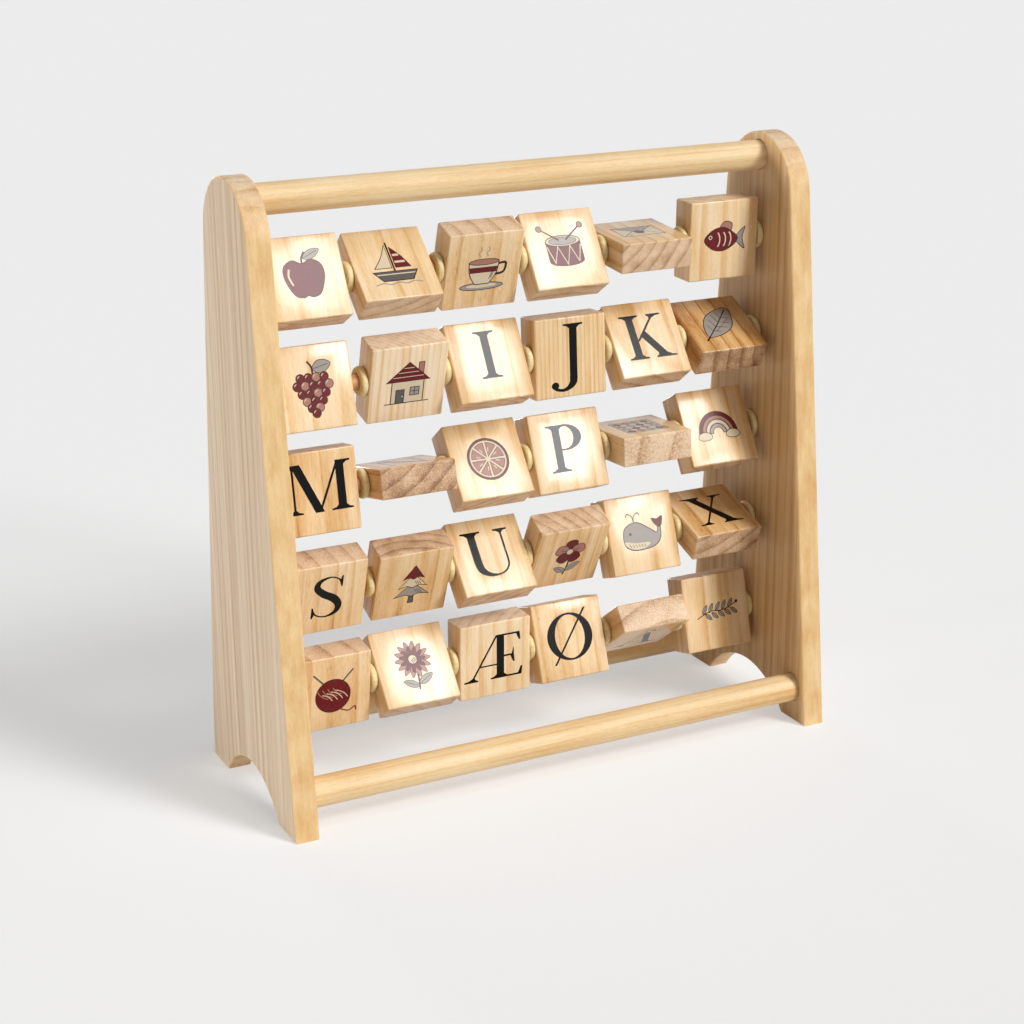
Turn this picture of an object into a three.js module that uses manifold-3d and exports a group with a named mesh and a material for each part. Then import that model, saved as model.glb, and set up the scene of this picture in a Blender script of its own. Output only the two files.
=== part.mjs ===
// Alphabet block frame: thirty wooden blocks that spin on five rods between two side panels.
// Millimetres. X runs along the rods, -Y is the front, +Z is up, and the feet stand on z = 0.
import * as THREE from "three";
import { mergeVertices } from "three/addons/utils/BufferGeometryUtils.js";
import Module from "manifold-3d";

// Blocks: a square printed face, with the rod's bore running across it
const blockWidth = 40; // along the rod
const blockHeight = 40.5;
const blockThickness = 15;
const blockEdge = 0.8; // chamfer on every outer edge
const boreClearance = 0.3; // radial, between a block's bore and the rod

// Rods and the spacer beads between the blocks
const rodDiameter = 8;
const beadDiameter = 15;
const beadThickness = 3.6;
const beadEdge = 1.2; // chamfer round the bead's rim
const beadClearance = 0.1; // on each side of a bead
const rowPlay = 9.4; // spare length of a row, over the blocks and beads

// Heights, from the circle that a block's corners sweep as it spins
const floorGap = 29.41; // floor to the lowest circle
const rowGap = 7.81; // from one row's circle to the next
const fingerGap = 11.21; // top circle to the top rail

// Rails that hold the panels apart
const railDiameter = 15;
const railMargin = 4.2; // wood left between a rail and the panel's edge
const footRailHeight = 18;

// Side panels
const panelThickness = 12;
const panelDepth = 117; // front to back at the floor
const panelTopRadius = 29.6;
const panelEdge = 1.2; // chamfer on the panel's edges
const archWidth = 72.2;
const archHeight = 18.7;

// Blind sockets for the rails and rods in the panels' inner faces
const socketFloor = 4; // wood left between a socket's end and the panel's outer face
const socketClearance = 0.3; // round a rail or rod, and at its end

// Facets
const rodSides = 16;
const boreSides = 12;
const railSides = 32;
const arcSteps = 24;
const weldDistance = 1e-4;
const cutOverrun = 1; // how far a cutter passes the face that it opens

// Each row from the top: its blocks, how far each leans at rest in degrees (minus leans the face
// back), and how the row's play is shared among its gaps from left to right, in tenths
const rows = [
  { blocks: "A B C D E F", leans: [-29, -47, 18, -32, -85, 2], play: [0, 1, 3, 1, 1, 3, 1] },
  { blocks: "G H I J K L", leans: [-16, 16, -30, -3, -36, -62], play: [2, 5, 0, 1, 1, 0, 1] },
  { blocks: "M N O P Q R", leans: [-10, -102, -37, -22, -93, -30], play: [3, 3, 0, 1, 1, 0, 2] },
  { blocks: "S T U V W X", leans: [18, 22, -40, 28, -20, -71], play: [5, 2, 0, 0, 0, 1, 2] },
  { blocks: "Y Z AE OE AA plain", leans: [8, -38, 1, -19, 54, -14], play: [6, 1, 1, 0, 1, 1, 0] },
];

// Values that follow from those above
const blocksInRow = rows[0].leans.length;
const beadPitch = beadThickness + 2 * beadClearance;
const rowLength = blocksInRow * blockWidth + (blocksInRow + 1) * beadPitch + rowPlay;
const swingRadius = Math.hypot(blockHeight, blockThickness) / 2;
const rowPitch = 2 * swingRadius + rowGap;
const rowHeight = (row) => floorGap + swingRadius + (rows.length - 1 - row) * rowPitch;
const socketDepth = panelThickness - socketFloor;
const railRadius = railDiameter / 2;
const railInset = railRadius + railMargin;
const topRailHeight = rowHeight(0) + swingRadius + fingerGap + railRadius;
const panelHeight = topRailHeight + railInset;

// The panel's straight sides run from its foot corners and touch the round top
const footCorner = panelDepth / 2;
const topCentre = panelHeight - panelTopRadius;
const sideLean =
  Math.atan2(footCorner, topCentre) - Math.asin(panelTopRadius / Math.hypot(footCorner, topCentre));
const sideAt = (z) => footCorner - z * Math.tan(sideLean);
const footRailOffset = sideAt(footRailHeight) - railInset / Math.cos(sideLean);

const rails = [
  { name: "top_rail", y: 0, z: topRailHeight },
  { name: "front_foot_rail", y: -footRailOffset, z: footRailHeight },
  { name: "back_foot_rail", y: footRailOffset, z: footRailHeight },
];

const wasm = await Module();
wasm.setup();

// A closed geometry as a solid that can be cut
function solidFrom(geometry) {
  const bare = geometry.clone();
  bare.deleteAttribute("normal");
  bare.deleteAttribute("uv");
  const welded = mergeVertices(bare, weldDistance);
  return new wasm.Manifold(
    new wasm.Mesh({
      numProp: 3,
      vertProperties: welded.attributes.position.array,
      triVerts: new Uint32Array(welded.index.array),
    }),
  );
}

function geometryFrom(solid) {
  const mesh = solid.getMesh();
  const geometry = new THREE.BufferGeometry();
  geometry.setAttribute("position", new THREE.BufferAttribute(mesh.vertProperties, mesh.numProp));
  geometry.setIndex(new THREE.BufferAttribute(mesh.triVerts, 1));
  geometry.computeVertexNormals();
  return geometry;
}

function wood(color, roughness) {
  return new THREE.MeshStandardMaterial({ color, roughness, metalness: 0 });
}

// Turns a shape drawn in (y, z) and extruded along its own depth so that the depth lies along X
const shapeToFrame = new THREE.Matrix4().makeBasis(
  new THREE.Vector3(0, 1, 0),
  new THREE.Vector3(0, 0, 1),
  new THREE.Vector3(1, 0, 0),
);

// Extrudes a shape to a thickness with its edges chamfered, centred on x = 0
function chamferedSlab(shape, thickness, edge) {
  const slab = new THREE.ExtrudeGeometry(shape, {
    depth: thickness - 2 * edge,
    bevelThickness: edge,
    bevelSize: edge,
    bevelOffset: -edge,
    bevelSegments: 1,
  });
  slab.translate(0, 0, edge - thickness / 2);
  return slab.applyMatrix4(shapeToFrame);
}

// A cylinder along X between two places
function rodAlongX(radius, x0, x1, sides) {
  const cylinder = new THREE.CylinderGeometry(radius, radius, x1 - x0, sides);
  cylinder.rotateZ(-Math.PI / 2);
  return cylinder.translate((x0 + x1) / 2, 0, 0);
}

// Points of a round stretch of the panel's outline, whose centre is on the panel's middle line
function arc(centre, radius, from, to) {
  return Array.from({ length: arcSteps + 1 }, (_, step) => {
    const angle = from + ((to - from) * step) / arcSteps;
    return new THREE.Vector2(radius * Math.cos(angle), centre + radius * Math.sin(angle));
  });
}

function panelShape() {
  const archHalf = archWidth / 2;
  const archRadius = (archHalf ** 2 + archHeight ** 2) / (2 * archHeight);
  const archCentre = archHeight - archRadius;
  const archStart = Math.atan2(-archCentre, archHalf);
  return new THREE.Shape([
    new THREE.Vector2(footCorner, 0),
    ...arc(topCentre, panelTopRadius, sideLean, Math.PI - sideLean),
    new THREE.Vector2(-footCorner, 0),
    ...arc(archCentre, archRadius, Math.PI - archStart, archStart),
  ]);
}

// A side panel; side is -1 for the left one and 1 for the right one
function sidePanel(name, side) {
  const inner = (side * rowLength) / 2;
  const deep = inner + side * socketDepth;
  const outside = inner - side * cutOverrun;
  const slab = chamferedSlab(panelShape(), panelThickness, panelEdge);
  slab.translate(inner + (side * panelThickness) / 2, 0, 0);
  const sockets = [
    ...rails.map(({ y, z }) => ({ y, z, radius: railRadius, sides: railSides })),
    ...rows.map((_, row) => ({ y: 0, z: rowHeight(row), radius: rodDiameter / 2, sides: rodSides })),
  ];
  let solid = solidFrom(slab);
  for (const { y, z, radius, sides } of sockets) {
    const cutter = rodAlongX(
      radius + socketClearance,
      Math.min(deep, outside),
      Math.max(deep, outside),
      sides,
    );
    solid = solid.subtract(solidFrom(cutter.translate(0, y, z)));
  }
  const mesh = new THREE.Mesh(geometryFrom(solid), wood(0xddc08f, 0.5));
  mesh.name = name;
  return mesh;
}

const seatedHalf = rowLength / 2 + socketDepth - socketClearance;

function rail({ name, y, z }) {
  const geometry = rodAlongX(railRadius, -seatedHalf, seatedHalf, railSides);
  const mesh = new THREE.Mesh(geometry, wood(0xe6c88f, 0.45));
  mesh.name = name;
  mesh.position.set(0, y, z);
  return mesh;
}

// Left ends of a row's blocks and the middles of its beads; each bead lies against what is on its right
function rowLayout({ play }) {
  const playUnit = rowPlay / play.reduce((sum, share) => sum + share, 0);
  const lefts = [];
  const beads = [];
  let x = -rowLength / 2;
  for (const share of play) {
    x += beadPitch + share * playUnit;
    lefts.push(x);
    beads.push(x - beadPitch / 2);
    x += blockWidth;
  }
  return { lefts: lefts.slice(0, blocksInRow), beads };
}

// A rod turned with its row of beads
function beadedRod(row, name) {
  const rodRadius = rodDiameter / 2;
  const rim = beadDiameter / 2;
  const half = beadThickness / 2;
  const profile = [new THREE.Vector2(0, -seatedHalf), new THREE.Vector2(rodRadius, -seatedHalf)];
  for (const middle of rowLayout(rows[row]).beads) {
    profile.push(
      new THREE.Vector2(rodRadius, middle - half),
      new THREE.Vector2(rim - beadEdge, middle - half),
      new THREE.Vector2(rim, middle - half + beadEdge),
      new THREE.Vector2(rim, middle + half - beadEdge),
      new THREE.Vector2(rim - beadEdge, middle + half),
      new THREE.Vector2(rodRadius, middle + half),
    );
  }
  profile.push(new THREE.Vector2(rodRadius, seatedHalf), new THREE.Vector2(0, seatedHalf));
  const geometry = new THREE.LatheGeometry(profile, rodSides);
  geometry.rotateZ(-Math.PI / 2);
  const mesh = new THREE.Mesh(geometry, wood(0xead7a4, 0.45));
  mesh.name = name;
  mesh.position.z = rowHeight(row);
  return mesh;
}

function blockShape() {
  const y = blockThickness / 2;
  const z = blockHeight / 2;
  const shape = new THREE.Shape();
  shape.moveTo(-y + blockEdge, -z);
  shape.lineTo(y - blockEdge, -z);
  shape.lineTo(y, -z + blockEdge);
  shape.lineTo(y, z - blockEdge);
  shape.lineTo(y - blockEdge, z);
  shape.lineTo(-y + blockEdge, z);
  shape.lineTo(-y, z - blockEdge);
  shape.lineTo(-y, -z + blockEdge);
  shape.closePath();
  return shape;
}

function blockGeometry() {
  const slab = chamferedSlab(blockShape(), blockWidth, blockEdge);
  const reach = blockWidth / 2 + cutOverrun;
  const bore = rodAlongX(rodDiameter / 2 + boreClearance, -reach, reach, boreSides);
  return geometryFrom(solidFrom(slab).subtract(solidFrom(bore)));
}

const frame = new THREE.Group();
frame.add(sidePanel("side_panel_left", -1), sidePanel("side_panel_right", 1));
frame.add(...rails.map(rail));

const blockForm = blockGeometry();
rows.forEach((line, row) => {
  frame.add(beadedRod(row, `bead_rod_row_${row + 1}`));
  const { lefts } = rowLayout(line);
  line.blocks.split(" ").forEach((letter, i) => {
    const block = new THREE.Mesh(blockForm, wood(0xe7cfa6, 0.5));
    block.name = `block_${letter}`;
    block.position.set(lefts[i] + blockWidth / 2, 0, rowHeight(row));
    block.rotation.x = THREE.MathUtils.degToRad(line.leans[i]);
    frame.add(block);
  });
});

export default frame;
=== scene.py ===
# Looks of an alphabet block frame: lacquered pine, five rods of printed blocks and pale spacer beads.
# Sizes are in millimetres and are turned to metres where a mesh is made. The front is -Y.
import math
import random
from itertools import product

import bpy
import numpy as np
from mathutils import Matrix, Vector
from mathutils.geometry import delaunay_2d_cdt


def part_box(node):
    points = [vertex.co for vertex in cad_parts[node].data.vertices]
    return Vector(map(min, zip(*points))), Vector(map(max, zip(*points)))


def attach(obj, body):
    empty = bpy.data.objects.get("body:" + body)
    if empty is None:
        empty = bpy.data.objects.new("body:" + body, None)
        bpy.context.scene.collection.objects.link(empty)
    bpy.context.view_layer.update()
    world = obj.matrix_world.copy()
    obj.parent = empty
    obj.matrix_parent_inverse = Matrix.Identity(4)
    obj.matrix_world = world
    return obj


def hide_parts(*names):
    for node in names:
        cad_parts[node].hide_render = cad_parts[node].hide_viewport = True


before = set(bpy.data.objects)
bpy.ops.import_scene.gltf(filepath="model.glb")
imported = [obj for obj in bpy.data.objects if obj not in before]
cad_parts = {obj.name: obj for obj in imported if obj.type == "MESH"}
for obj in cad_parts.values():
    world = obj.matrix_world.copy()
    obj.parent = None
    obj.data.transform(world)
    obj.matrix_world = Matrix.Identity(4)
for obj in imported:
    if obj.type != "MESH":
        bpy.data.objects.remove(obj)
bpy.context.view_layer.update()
mm = 0.001
scene = bpy.context.scene
scene.view_settings.view_transform = "Standard"
chance = random.Random(41)
logLength = (0, 900)  # each piece is cut from somewhere along a log


# Random values in order, one from each span
def drawn(*spans):
    return [chance.uniform(*span) for span in spans]


# Materials

def linear(hexColour):
    parts = [int(hexColour[i:i + 2], 16) / 255 for i in (1, 3, 5)]
    return [p / 12.92 if p <= 0.04045 else ((p + 0.055) / 1.055) ** 2.4 for p in parts] + [1.0]


def addNode(tree, kind, links=None, **settings):
    node = tree.nodes.new(kind)
    for name, value in settings.items():
        setattr(node, name, value)
    for name, value in (links or {}).items():
        if isinstance(value, bpy.types.NodeSocket):
            tree.links.new(value, node.inputs[name])
        else:
            node.inputs[name].default_value = value
    return node


def setRamp(node, stops):
    ramp = node.color_ramp
    while len(ramp.elements) < len(stops):
        ramp.elements.new(0.5)
    for element, (position, colour) in zip(ramp.elements, stops):
        element.position = position
        element.color = linear(colour)


# What all the woods share; a ring is palest in spring and darkest just before the next one
woodLook = {
    "ringShades": [(0.0, "#3c3c3c"), (0.2, "#000000"), (0.55, "#5a5a5a"), (0.84, "#dcdcdc"),
                   (0.92, "#ffffff"), (1.0, "#3c3c3c")],
    "ringMiddle": 0.1, "noiseMiddle": 0.5, "noiseRoughness": 0.6,
    "fleckSize": (0.5, 0.5, 4), "fleckFrom": 0.74, "fleckTo": 0.84,
    "smoother": 0.06, "rougher": 0.08, "endMatting": 0.3, "bumpHeight": 0.05,
}


# Every piece carries its place in the log as a mesh attribute, in millimetres: across, across, along
def woodMaterial(name, look):
    material = bpy.data.materials.new(name)
    material.use_nodes = True
    tree = material.node_tree
    shader = tree.nodes["Principled BSDF"]
    place = addNode(tree, "ShaderNodeAttribute", attribute_name="grain").outputs["Vector"]
    endGrain = addNode(tree, "ShaderNodeAttribute", attribute_name="endGrain").outputs["Fac"]
    tone = addNode(tree, "ShaderNodeAttribute", attribute_name="tone").outputs["Fac"]

    # growth rings: distance from the pith, pushed about by a slow noise
    slow = addNode(tree, "ShaderNodeVectorMath", {0: place, 1: look["wanderSize"]}, operation="DIVIDE")
    wander = addNode(tree, "ShaderNodeTexNoise", {"Vector": slow.outputs[0], "Scale": 1.0, "Detail": 2.0})
    across = addNode(tree, "ShaderNodeVectorMath", {0: place, 1: (1, 1, 0)}, operation="MULTIPLY")
    radius = addNode(tree, "ShaderNodeVectorMath", {0: across.outputs[0]}, operation="LENGTH")
    pushed = addNode(tree, "ShaderNodeMath",
                     {0: wander.outputs["Fac"], 1: look["wander"], 2: radius.outputs["Value"]},
                     operation="MULTIPLY_ADD")
    years = addNode(tree, "ShaderNodeMath", {0: pushed.outputs[0], 1: look["ringWidth"]}, operation="DIVIDE")
    year = addNode(tree, "ShaderNodeMath", {0: years.outputs[0]}, operation="FRACT")
    ring = addNode(tree, "ShaderNodeValToRGB", {"Fac": year.outputs[0]})
    setRamp(ring, woodLook["ringShades"])

    # streaks and fibres along the grain, which are specks on the end grain, and slow clouds of colour;
    # real fibres are too fine to show, so these are about ten times as wide
    noises = {}
    for mark, detail in (("streaks", 2.0), ("fibres", 3.0), ("clouds", 1.0)):
        spread = addNode(tree, "ShaderNodeVectorMath", {0: place, 1: look[mark]}, operation="DIVIDE")
        noises[mark] = addNode(tree, "ShaderNodeTexNoise",
                               {"Vector": spread.outputs[0], "Scale": 1.0, "Detail": detail,
                                "Roughness": woodLook["noiseRoughness"]})
    fibre = noises["fibres"].outputs["Fac"]
    canals = addNode(tree, "ShaderNodeVectorMath", {0: place, 1: woodLook["fleckSize"]}, operation="DIVIDE")
    canal = addNode(tree, "ShaderNodeTexNoise", {"Vector": canals.outputs[0], "Scale": 1.0, "Detail": 0.0})
    fleck = addNode(tree, "ShaderNodeMapRange",
                    {"Value": canal.outputs["Fac"], "From Min": woodLook["fleckFrom"],
                     "From Max": woodLook["fleckTo"]})

    # how dark the wood is here: a level, the piece's tone (on some blocks with painted shade or painted light
    # added), and each mark about its middle
    marks = {"rings": (ring.outputs["Color"], woodLook["ringMiddle"])}
    marks.update({mark: (noise.outputs["Fac"], woodLook["noiseMiddle"]) for mark, noise in noises.items()})
    marks["flecks"] = (fleck.outputs["Result"], 0.0)
    shades = {}
    for cut in ("long", "end"):
        share = look[cut]
        level = share["level"] - sum(share.get(mark, 0.0) * middle for mark, (_, middle) in marks.items())
        depth = addNode(tree, "ShaderNodeMath", {0: tone, 1: level}, operation="ADD")
        for mark, (value, _) in marks.items():
            depth = addNode(tree, "ShaderNodeMath", {0: value, 1: share.get(mark, 0.0), 2: depth.outputs[0]},
                            operation="MULTIPLY_ADD")
        shades[cut] = addNode(tree, "ShaderNodeValToRGB", {"Fac": depth.outputs[0]})
        setRamp(shades[cut], share["colours"])
    colour = addNode(tree, "ShaderNodeMix", {"Factor": endGrain, 6: shades["long"].outputs["Color"],
                                             7: shades["end"].outputs["Color"]}, data_type="RGBA")
    tree.links.new(colour.outputs[2], shader.inputs["Base Color"])

    # raised fibres and open end grain under a clear lacquer
    rough = addNode(tree, "ShaderNodeMapRange",
                    {"Value": fibre, "To Min": look["roughness"] - woodLook["smoother"],
                     "To Max": look["roughness"] + woodLook["rougher"]})
    matted = addNode(tree, "ShaderNodeMath",
                     {0: endGrain, 1: woodLook["endMatting"], 2: rough.outputs["Result"]},
                     operation="MULTIPLY_ADD")
    tree.links.new(matted.outputs[0], shader.inputs["Roughness"])
    bump = addNode(tree, "ShaderNodeBump",
                   {"Height": fibre, "Strength": look["bump"], "Distance": woodLook["bumpHeight"] * mm})
    tree.links.new(bump.outputs["Normal"], shader.inputs["Normal"])
    shader.inputs["Specular IOR Level"].default_value = look["gloss"]
    return material


boardLook = {"wanderSize": (26, 26, 300), "ringWidth": 6.5, "roughness": 0.42, "gloss": 0.3, "bump": 0.12}
pineEnd = {"level": 0.4, "rings": 0.3, "streaks": 0.2, "fibres": 0.9, "clouds": 0.6,
           "colours": [(0.0, "#f3dcbc"), (0.4, "#e6c39a"), (0.7, "#cba072"), (1.0, "#96683f")]}

# Pine board, sanded across its edges and clear-lacquered: warm yellow and mottled, paler at the end grain
panelEdgePine = woodMaterial("lacquered_pine_board_edge", {
    **boardLook, "wander": 6.0,
    "streaks": (2.4, 2.4, 120), "fibres": (0.6, 0.6, 3), "clouds": (9, 9, 16),
    "long": {"level": 0.45, "rings": 0.08, "streaks": 0.4, "fibres": 0.35, "clouds": 0.55,
             "colours": [(0.0, "#f6dfb9"), (0.35, "#ecca94"), (0.7, "#d9a96c"), (1.0, "#a8703a")]},
    "end": {"level": 0.36, "rings": 0.24, "streaks": 0.5, "fibres": 0.8, "clouds": 0.7,
            "colours": [(0.0, "#f3dfc6"), (0.4, "#e8cba9"), (0.7, "#d2aa82"), (1.0, "#9c7048")]}})

# The same board planed on its outer face: greyer tan, with soft upright stripes
panelOuterPine = woodMaterial("lacquered_pine_board_outer_face", {
    **boardLook, "wander": 7.0,
    "streaks": (2.6, 2.6, 400), "fibres": (0.6, 0.6, 12), "clouds": (12, 12, 300),
    "long": {"level": 0.4, "rings": 0.2, "streaks": 0.75, "fibres": 0.4, "clouds": 0.5,
             "colours": [(0.0, "#eedcc4"), (0.35, "#dec6a7"), (0.7, "#c1a07b"), (1.0, "#906c4a")]},
    "end": pineEnd})

# And on its inner face: warmer, the stripes finer and fainter
panelInnerPine = woodMaterial("lacquered_pine_board_inner_face", {
    **boardLook, "wander": 7.0,
    "streaks": (1.7, 1.7, 320), "fibres": (0.6, 0.6, 12), "clouds": (6, 6, 200),
    "long": {"level": 0.38, "rings": 0.2, "streaks": 0.6, "fibres": 0.4, "clouds": 0.3,
             "colours": [(0.0, "#efd7b0"), (0.35, "#e0bc8a"), (0.7, "#c6965c"), (1.0, "#946234")]},
    "end": pineEnd})

# Pine dowel, turned and clear-lacquered: long yellow streaks under a soft highlight
railPine = woodMaterial("lacquered_pine_dowel", {
    "wanderSize": (14, 14, 220), "wander": 5.0, "ringWidth": 5.0,
    "streaks": (1.6, 1.6, 110), "fibres": (0.5, 0.5, 4), "clouds": (8, 8, 60),
    "long": {"level": 0.34, "rings": 0.16, "streaks": 0.45, "fibres": 0.5, "clouds": 0.6,
             "colours": [(0.0, "#f6e2be"), (0.35, "#edce9d"), (0.7, "#dbab6e"), (1.0, "#ab723a")]},
    "end": pineEnd, "roughness": 0.4, "gloss": 0.2, "bump": 0.2})

# Pine blocks, sawn square and lacquered over the print: upright grain, broad bands and specks on the ends
blockPine = woodMaterial("lacquered_pine_block", {
    "wanderSize": (30, 30, 120), "wander": 5.0, "ringWidth": 7.5,
    "streaks": (1.8, 1.8, 90), "fibres": (0.45, 0.45, 4), "clouds": (10, 10, 45),
    "long": {"level": 0.36, "rings": 0.28, "streaks": 0.44, "fibres": 0.55, "clouds": 0.75, "flecks": 0.25,
             "colours": [(0.0, "#f8e2c2"), (0.35, "#edcc9c"), (0.7, "#daab6f"), (1.0, "#a86d34")]},
    "end": {"level": 0.44, "rings": 0.3, "streaks": 0.3, "fibres": 1.2, "clouds": 0.7,
            "colours": [(0.0, "#f2dcc4"), (0.4, "#e2c3a0"), (0.7, "#c49c77"), (1.0, "#8c6344")]},
    "roughness": 0.19, "gloss": 0.42, "bump": 0.06})

# Beech, turned and waxed: pale, close and even, with fine flecks
beadBeech = woodMaterial("waxed_beech", {
    "wanderSize": (9, 9, 20), "wander": 2.0, "ringWidth": 2.4,
    "streaks": (1.0, 1.0, 8), "fibres": (0.5, 0.5, 3), "clouds": (5, 5, 10),
    "long": {"level": 0.35, "rings": 0.1, "streaks": 0.5, "fibres": 0.6, "clouds": 0.5, "flecks": 0.1,
             "colours": [(0.0, "#f6e8b8"), (0.4, "#ead59c"), (0.75, "#d4b476"), (1.0, "#a98249")]},
    "end": {"level": 0.4, "rings": 0.1, "streaks": 0.5, "fibres": 0.6, "clouds": 0.5,
            "colours": [(0.0, "#f3e3b2"), (0.4, "#e3cb93"), (0.75, "#cba96d"), (1.0, "#a07a45")]},
    "roughness": 0.36, "gloss": 0.4, "bump": 0.15})

# Hardwood dowel inside the blocks, oiled: browner and duller than the pine
rodHardwood = woodMaterial("oiled_hardwood_dowel", {
    "wanderSize": (9, 9, 120), "wander": 3.0, "ringWidth": 2.6,
    "streaks": (0.9, 0.9, 40), "fibres": (0.5, 0.5, 10), "clouds": (6, 6, 50),
    "long": {"level": 0.4, "rings": 0.15, "streaks": 0.6, "fibres": 0.6, "clouds": 0.5, "flecks": 0.1,
             "colours": [(0.0, "#e0b486"), (0.4, "#cd9866"), (0.75, "#ad7848"), (1.0, "#80532f")]},
    "end": {"level": 0.4, "rings": 0.2, "streaks": 0.3, "fibres": 0.8, "clouds": 0.4,
            "colours": [(0.0, "#cfa87c"), (0.5, "#b08455"), (1.0, "#7d5a38")]},
    "roughness": 0.46, "gloss": 0.3, "bump": 0.2})

# the grit of the print is drawn coarser than it is, so that it shows
inkLook = {"gritSize": (0.35, 0.35, 2.4), "gritRoughness": 0.7, "wornFrom": 0.58, "wornAt": 0.85,
           "smoothest": 0.1, "roughest": 0.26, "bump": 0.3, "bumpHeight": 0.05, "gloss": 0.18}
inkColours = {  # as printed, and where it is worn
    "black": ("#060504", "#1d1814"),
    "sepia": ("#3b2822", "#6d5343"),
    "burgundy": ("#6a1c22", "#86433c"),
    "rose": ("#a9776c", "#bb9078"),
    "cream": ("#d9c8ab", "#dcc59c"),
    "grey": ("#9d968f", "#b3a591"),
    "slate": ("#5f5a58", "#857767"),
}


# Screen-printed ink under the blocks' lacquer: flat colour, broken a little along the fibres
def inkMaterial(name, printed, worn):
    material = bpy.data.materials.new("printed_ink_" + name)
    material.use_nodes = True
    tree = material.node_tree
    shader = tree.nodes["Principled BSDF"]
    place = addNode(tree, "ShaderNodeAttribute", attribute_name="grain").outputs["Vector"]
    fine = addNode(tree, "ShaderNodeVectorMath", {0: place, 1: inkLook["gritSize"]}, operation="DIVIDE")
    grit = addNode(tree, "ShaderNodeTexNoise", {"Vector": fine.outputs[0], "Scale": 1.0, "Detail": 2.0,
                                                "Roughness": inkLook["gritRoughness"]}).outputs["Fac"]
    colour = addNode(tree, "ShaderNodeValToRGB", {"Fac": grit})
    setRamp(colour, [(0.0, printed), (inkLook["wornFrom"], printed), (inkLook["wornAt"], worn)])
    tree.links.new(colour.outputs["Color"], shader.inputs["Base Color"])
    rough = addNode(tree, "ShaderNodeMapRange",
                    {"Value": grit, "To Min": inkLook["smoothest"], "To Max": inkLook["roughest"]})
    tree.links.new(rough.outputs["Result"], shader.inputs["Roughness"])
    bump = addNode(tree, "ShaderNodeBump",
                   {"Height": grit, "Strength": inkLook["bump"], "Distance": inkLook["bumpHeight"] * mm})
    tree.links.new(bump.outputs["Normal"], shader.inputs["Normal"])
    shader.inputs["Specular IOR Level"].default_value = inkLook["gloss"]
    return material


inks = {name: inkMaterial(name, *colours) for name, colours in inkColours.items()}
print("materials:", len(bpy.data.materials))


# Meshes: a shell gathers welded corners and faces in millimetres, then becomes a piece

meshLook = {"weldDigits": 3, "mergeDistance": 0.03, "sharpAngle": 35}


def newShell():
    return {"corners": [], "seen": {}, "faces": [], "finishes": [], "rounded": []}


def addFace(shell, points, finish=0, rounded=False):
    loop = []
    for point in points:
        key = tuple(round(c, meshLook["weldDigits"]) for c in point)
        if key not in shell["seen"]:
            shell["seen"][key] = len(shell["corners"])
            shell["corners"].append(point)
        if shell["seen"][key] not in loop:
            loop.append(shell["seen"][key])
    if len(loop) > 2:
        shell["faces"].append(loop)
        shell["finishes"].append(finish)
        shell["rounded"].append(rounded)


# Quads between closed rings of equal length
def addSkin(shell, rings, rounded=True):
    for ringA, ringB in zip(rings, rings[1:]):
        for i in range(len(ringA)):
            j = (i + 1) % len(ringA)
            addFace(shell, [ringA[i], ringB[i], ringB[j], ringA[j]], 0, rounded)


def isClockwise(polygon):
    pairs = zip(polygon, polygon[1:] + polygon[:1])
    return sum(a[0] * b[1] - b[0] * a[1] for a, b in pairs) < 0


def liesIn(polygon, spots):
    x, y = spots[:, 0], spots[:, 1]
    inside = np.zeros(len(spots), bool)
    for (ax, ay), (bx, by) in zip(polygon, polygon[1:] + polygon[:1]):
        if ay != by:
            inside ^= ((ay > y) != (by > y)) & (x < ax + (y - ay) * (bx - ax) / (by - ay))
    return inside


# A flat face with holes and a print on it; of the prints over a spot the last one shows
def addFlat(shell, outline, place, holes=(), prints=(), finish=0):
    layers = [(finish, outline)] + [(-1, hole) for hole in holes] + list(prints)
    spots = []
    loops = []
    for _, polygon in layers:
        loops.append(list(range(len(spots), len(spots) + len(polygon))))
        spots += [Vector(p) for p in (polygon[::-1] if isClockwise(polygon) else polygon)]
    corners, _, triangles = delaunay_2d_cdt(spots, [], loops, 0, meshLook["mergeDistance"], False)[:3]
    middles = np.array([(corners[a] + corners[b] + corners[c]) / 3 for a, b, c in triangles])
    shown = np.full(len(triangles), -1)
    for layerFinish, polygon in layers:
        shown[liesIn(polygon, middles)] = layerFinish
    for triangle, layerFinish in zip(triangles, shown):
        if layerFinish >= 0:
            addFace(shell, [place(*corners[i]) for i in triangle], int(layerFinish))


# A shell as a piece: axis is the way the grain runs, pith how far off the log's middle lies,
# and closeness packs the rings closer than the material's own ring width, or wider below 1
def shellPiece(name, shell, materials, axis, pith, tone, matrix=Matrix.Identity(4), closeness=1.0):
    mesh = bpy.data.meshes.new(name)
    mesh.from_pydata([Vector(c) * mm for c in shell["corners"]], [], shell["faces"])
    for material in materials:
        mesh.materials.append(material)
    mesh.polygons.foreach_set("material_index", shell["finishes"])
    mesh.polygons.foreach_set("use_smooth", shell["rounded"])
    mesh.set_sharp_from_angle(angle=math.radians(meshLook["sharpAngle"]))
    sides = [a for a in range(3) if a != axis]
    grain = mesh.attributes.new("grain", "FLOAT_VECTOR", "POINT")
    for spot, corner in zip(grain.data, shell["corners"]):
        across = [(corner[side] + off) * closeness for side, off in zip(sides, pith)]
        spot.vector = (*across, corner[axis] + pith[2])
    ends = mesh.attributes.new("endGrain", "FLOAT", "FACE")
    shade = mesh.attributes.new("tone", "FLOAT", "FACE")
    for end, dark, polygon in zip(ends.data, shade.data, mesh.polygons):
        end.value = abs(polygon.normal[axis]) ** 2
        dark.value = tone
    piece = bpy.data.objects.new(name, mesh)
    scene.collection.objects.link(piece)
    piece.matrix_world = matrix
    return piece


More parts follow.
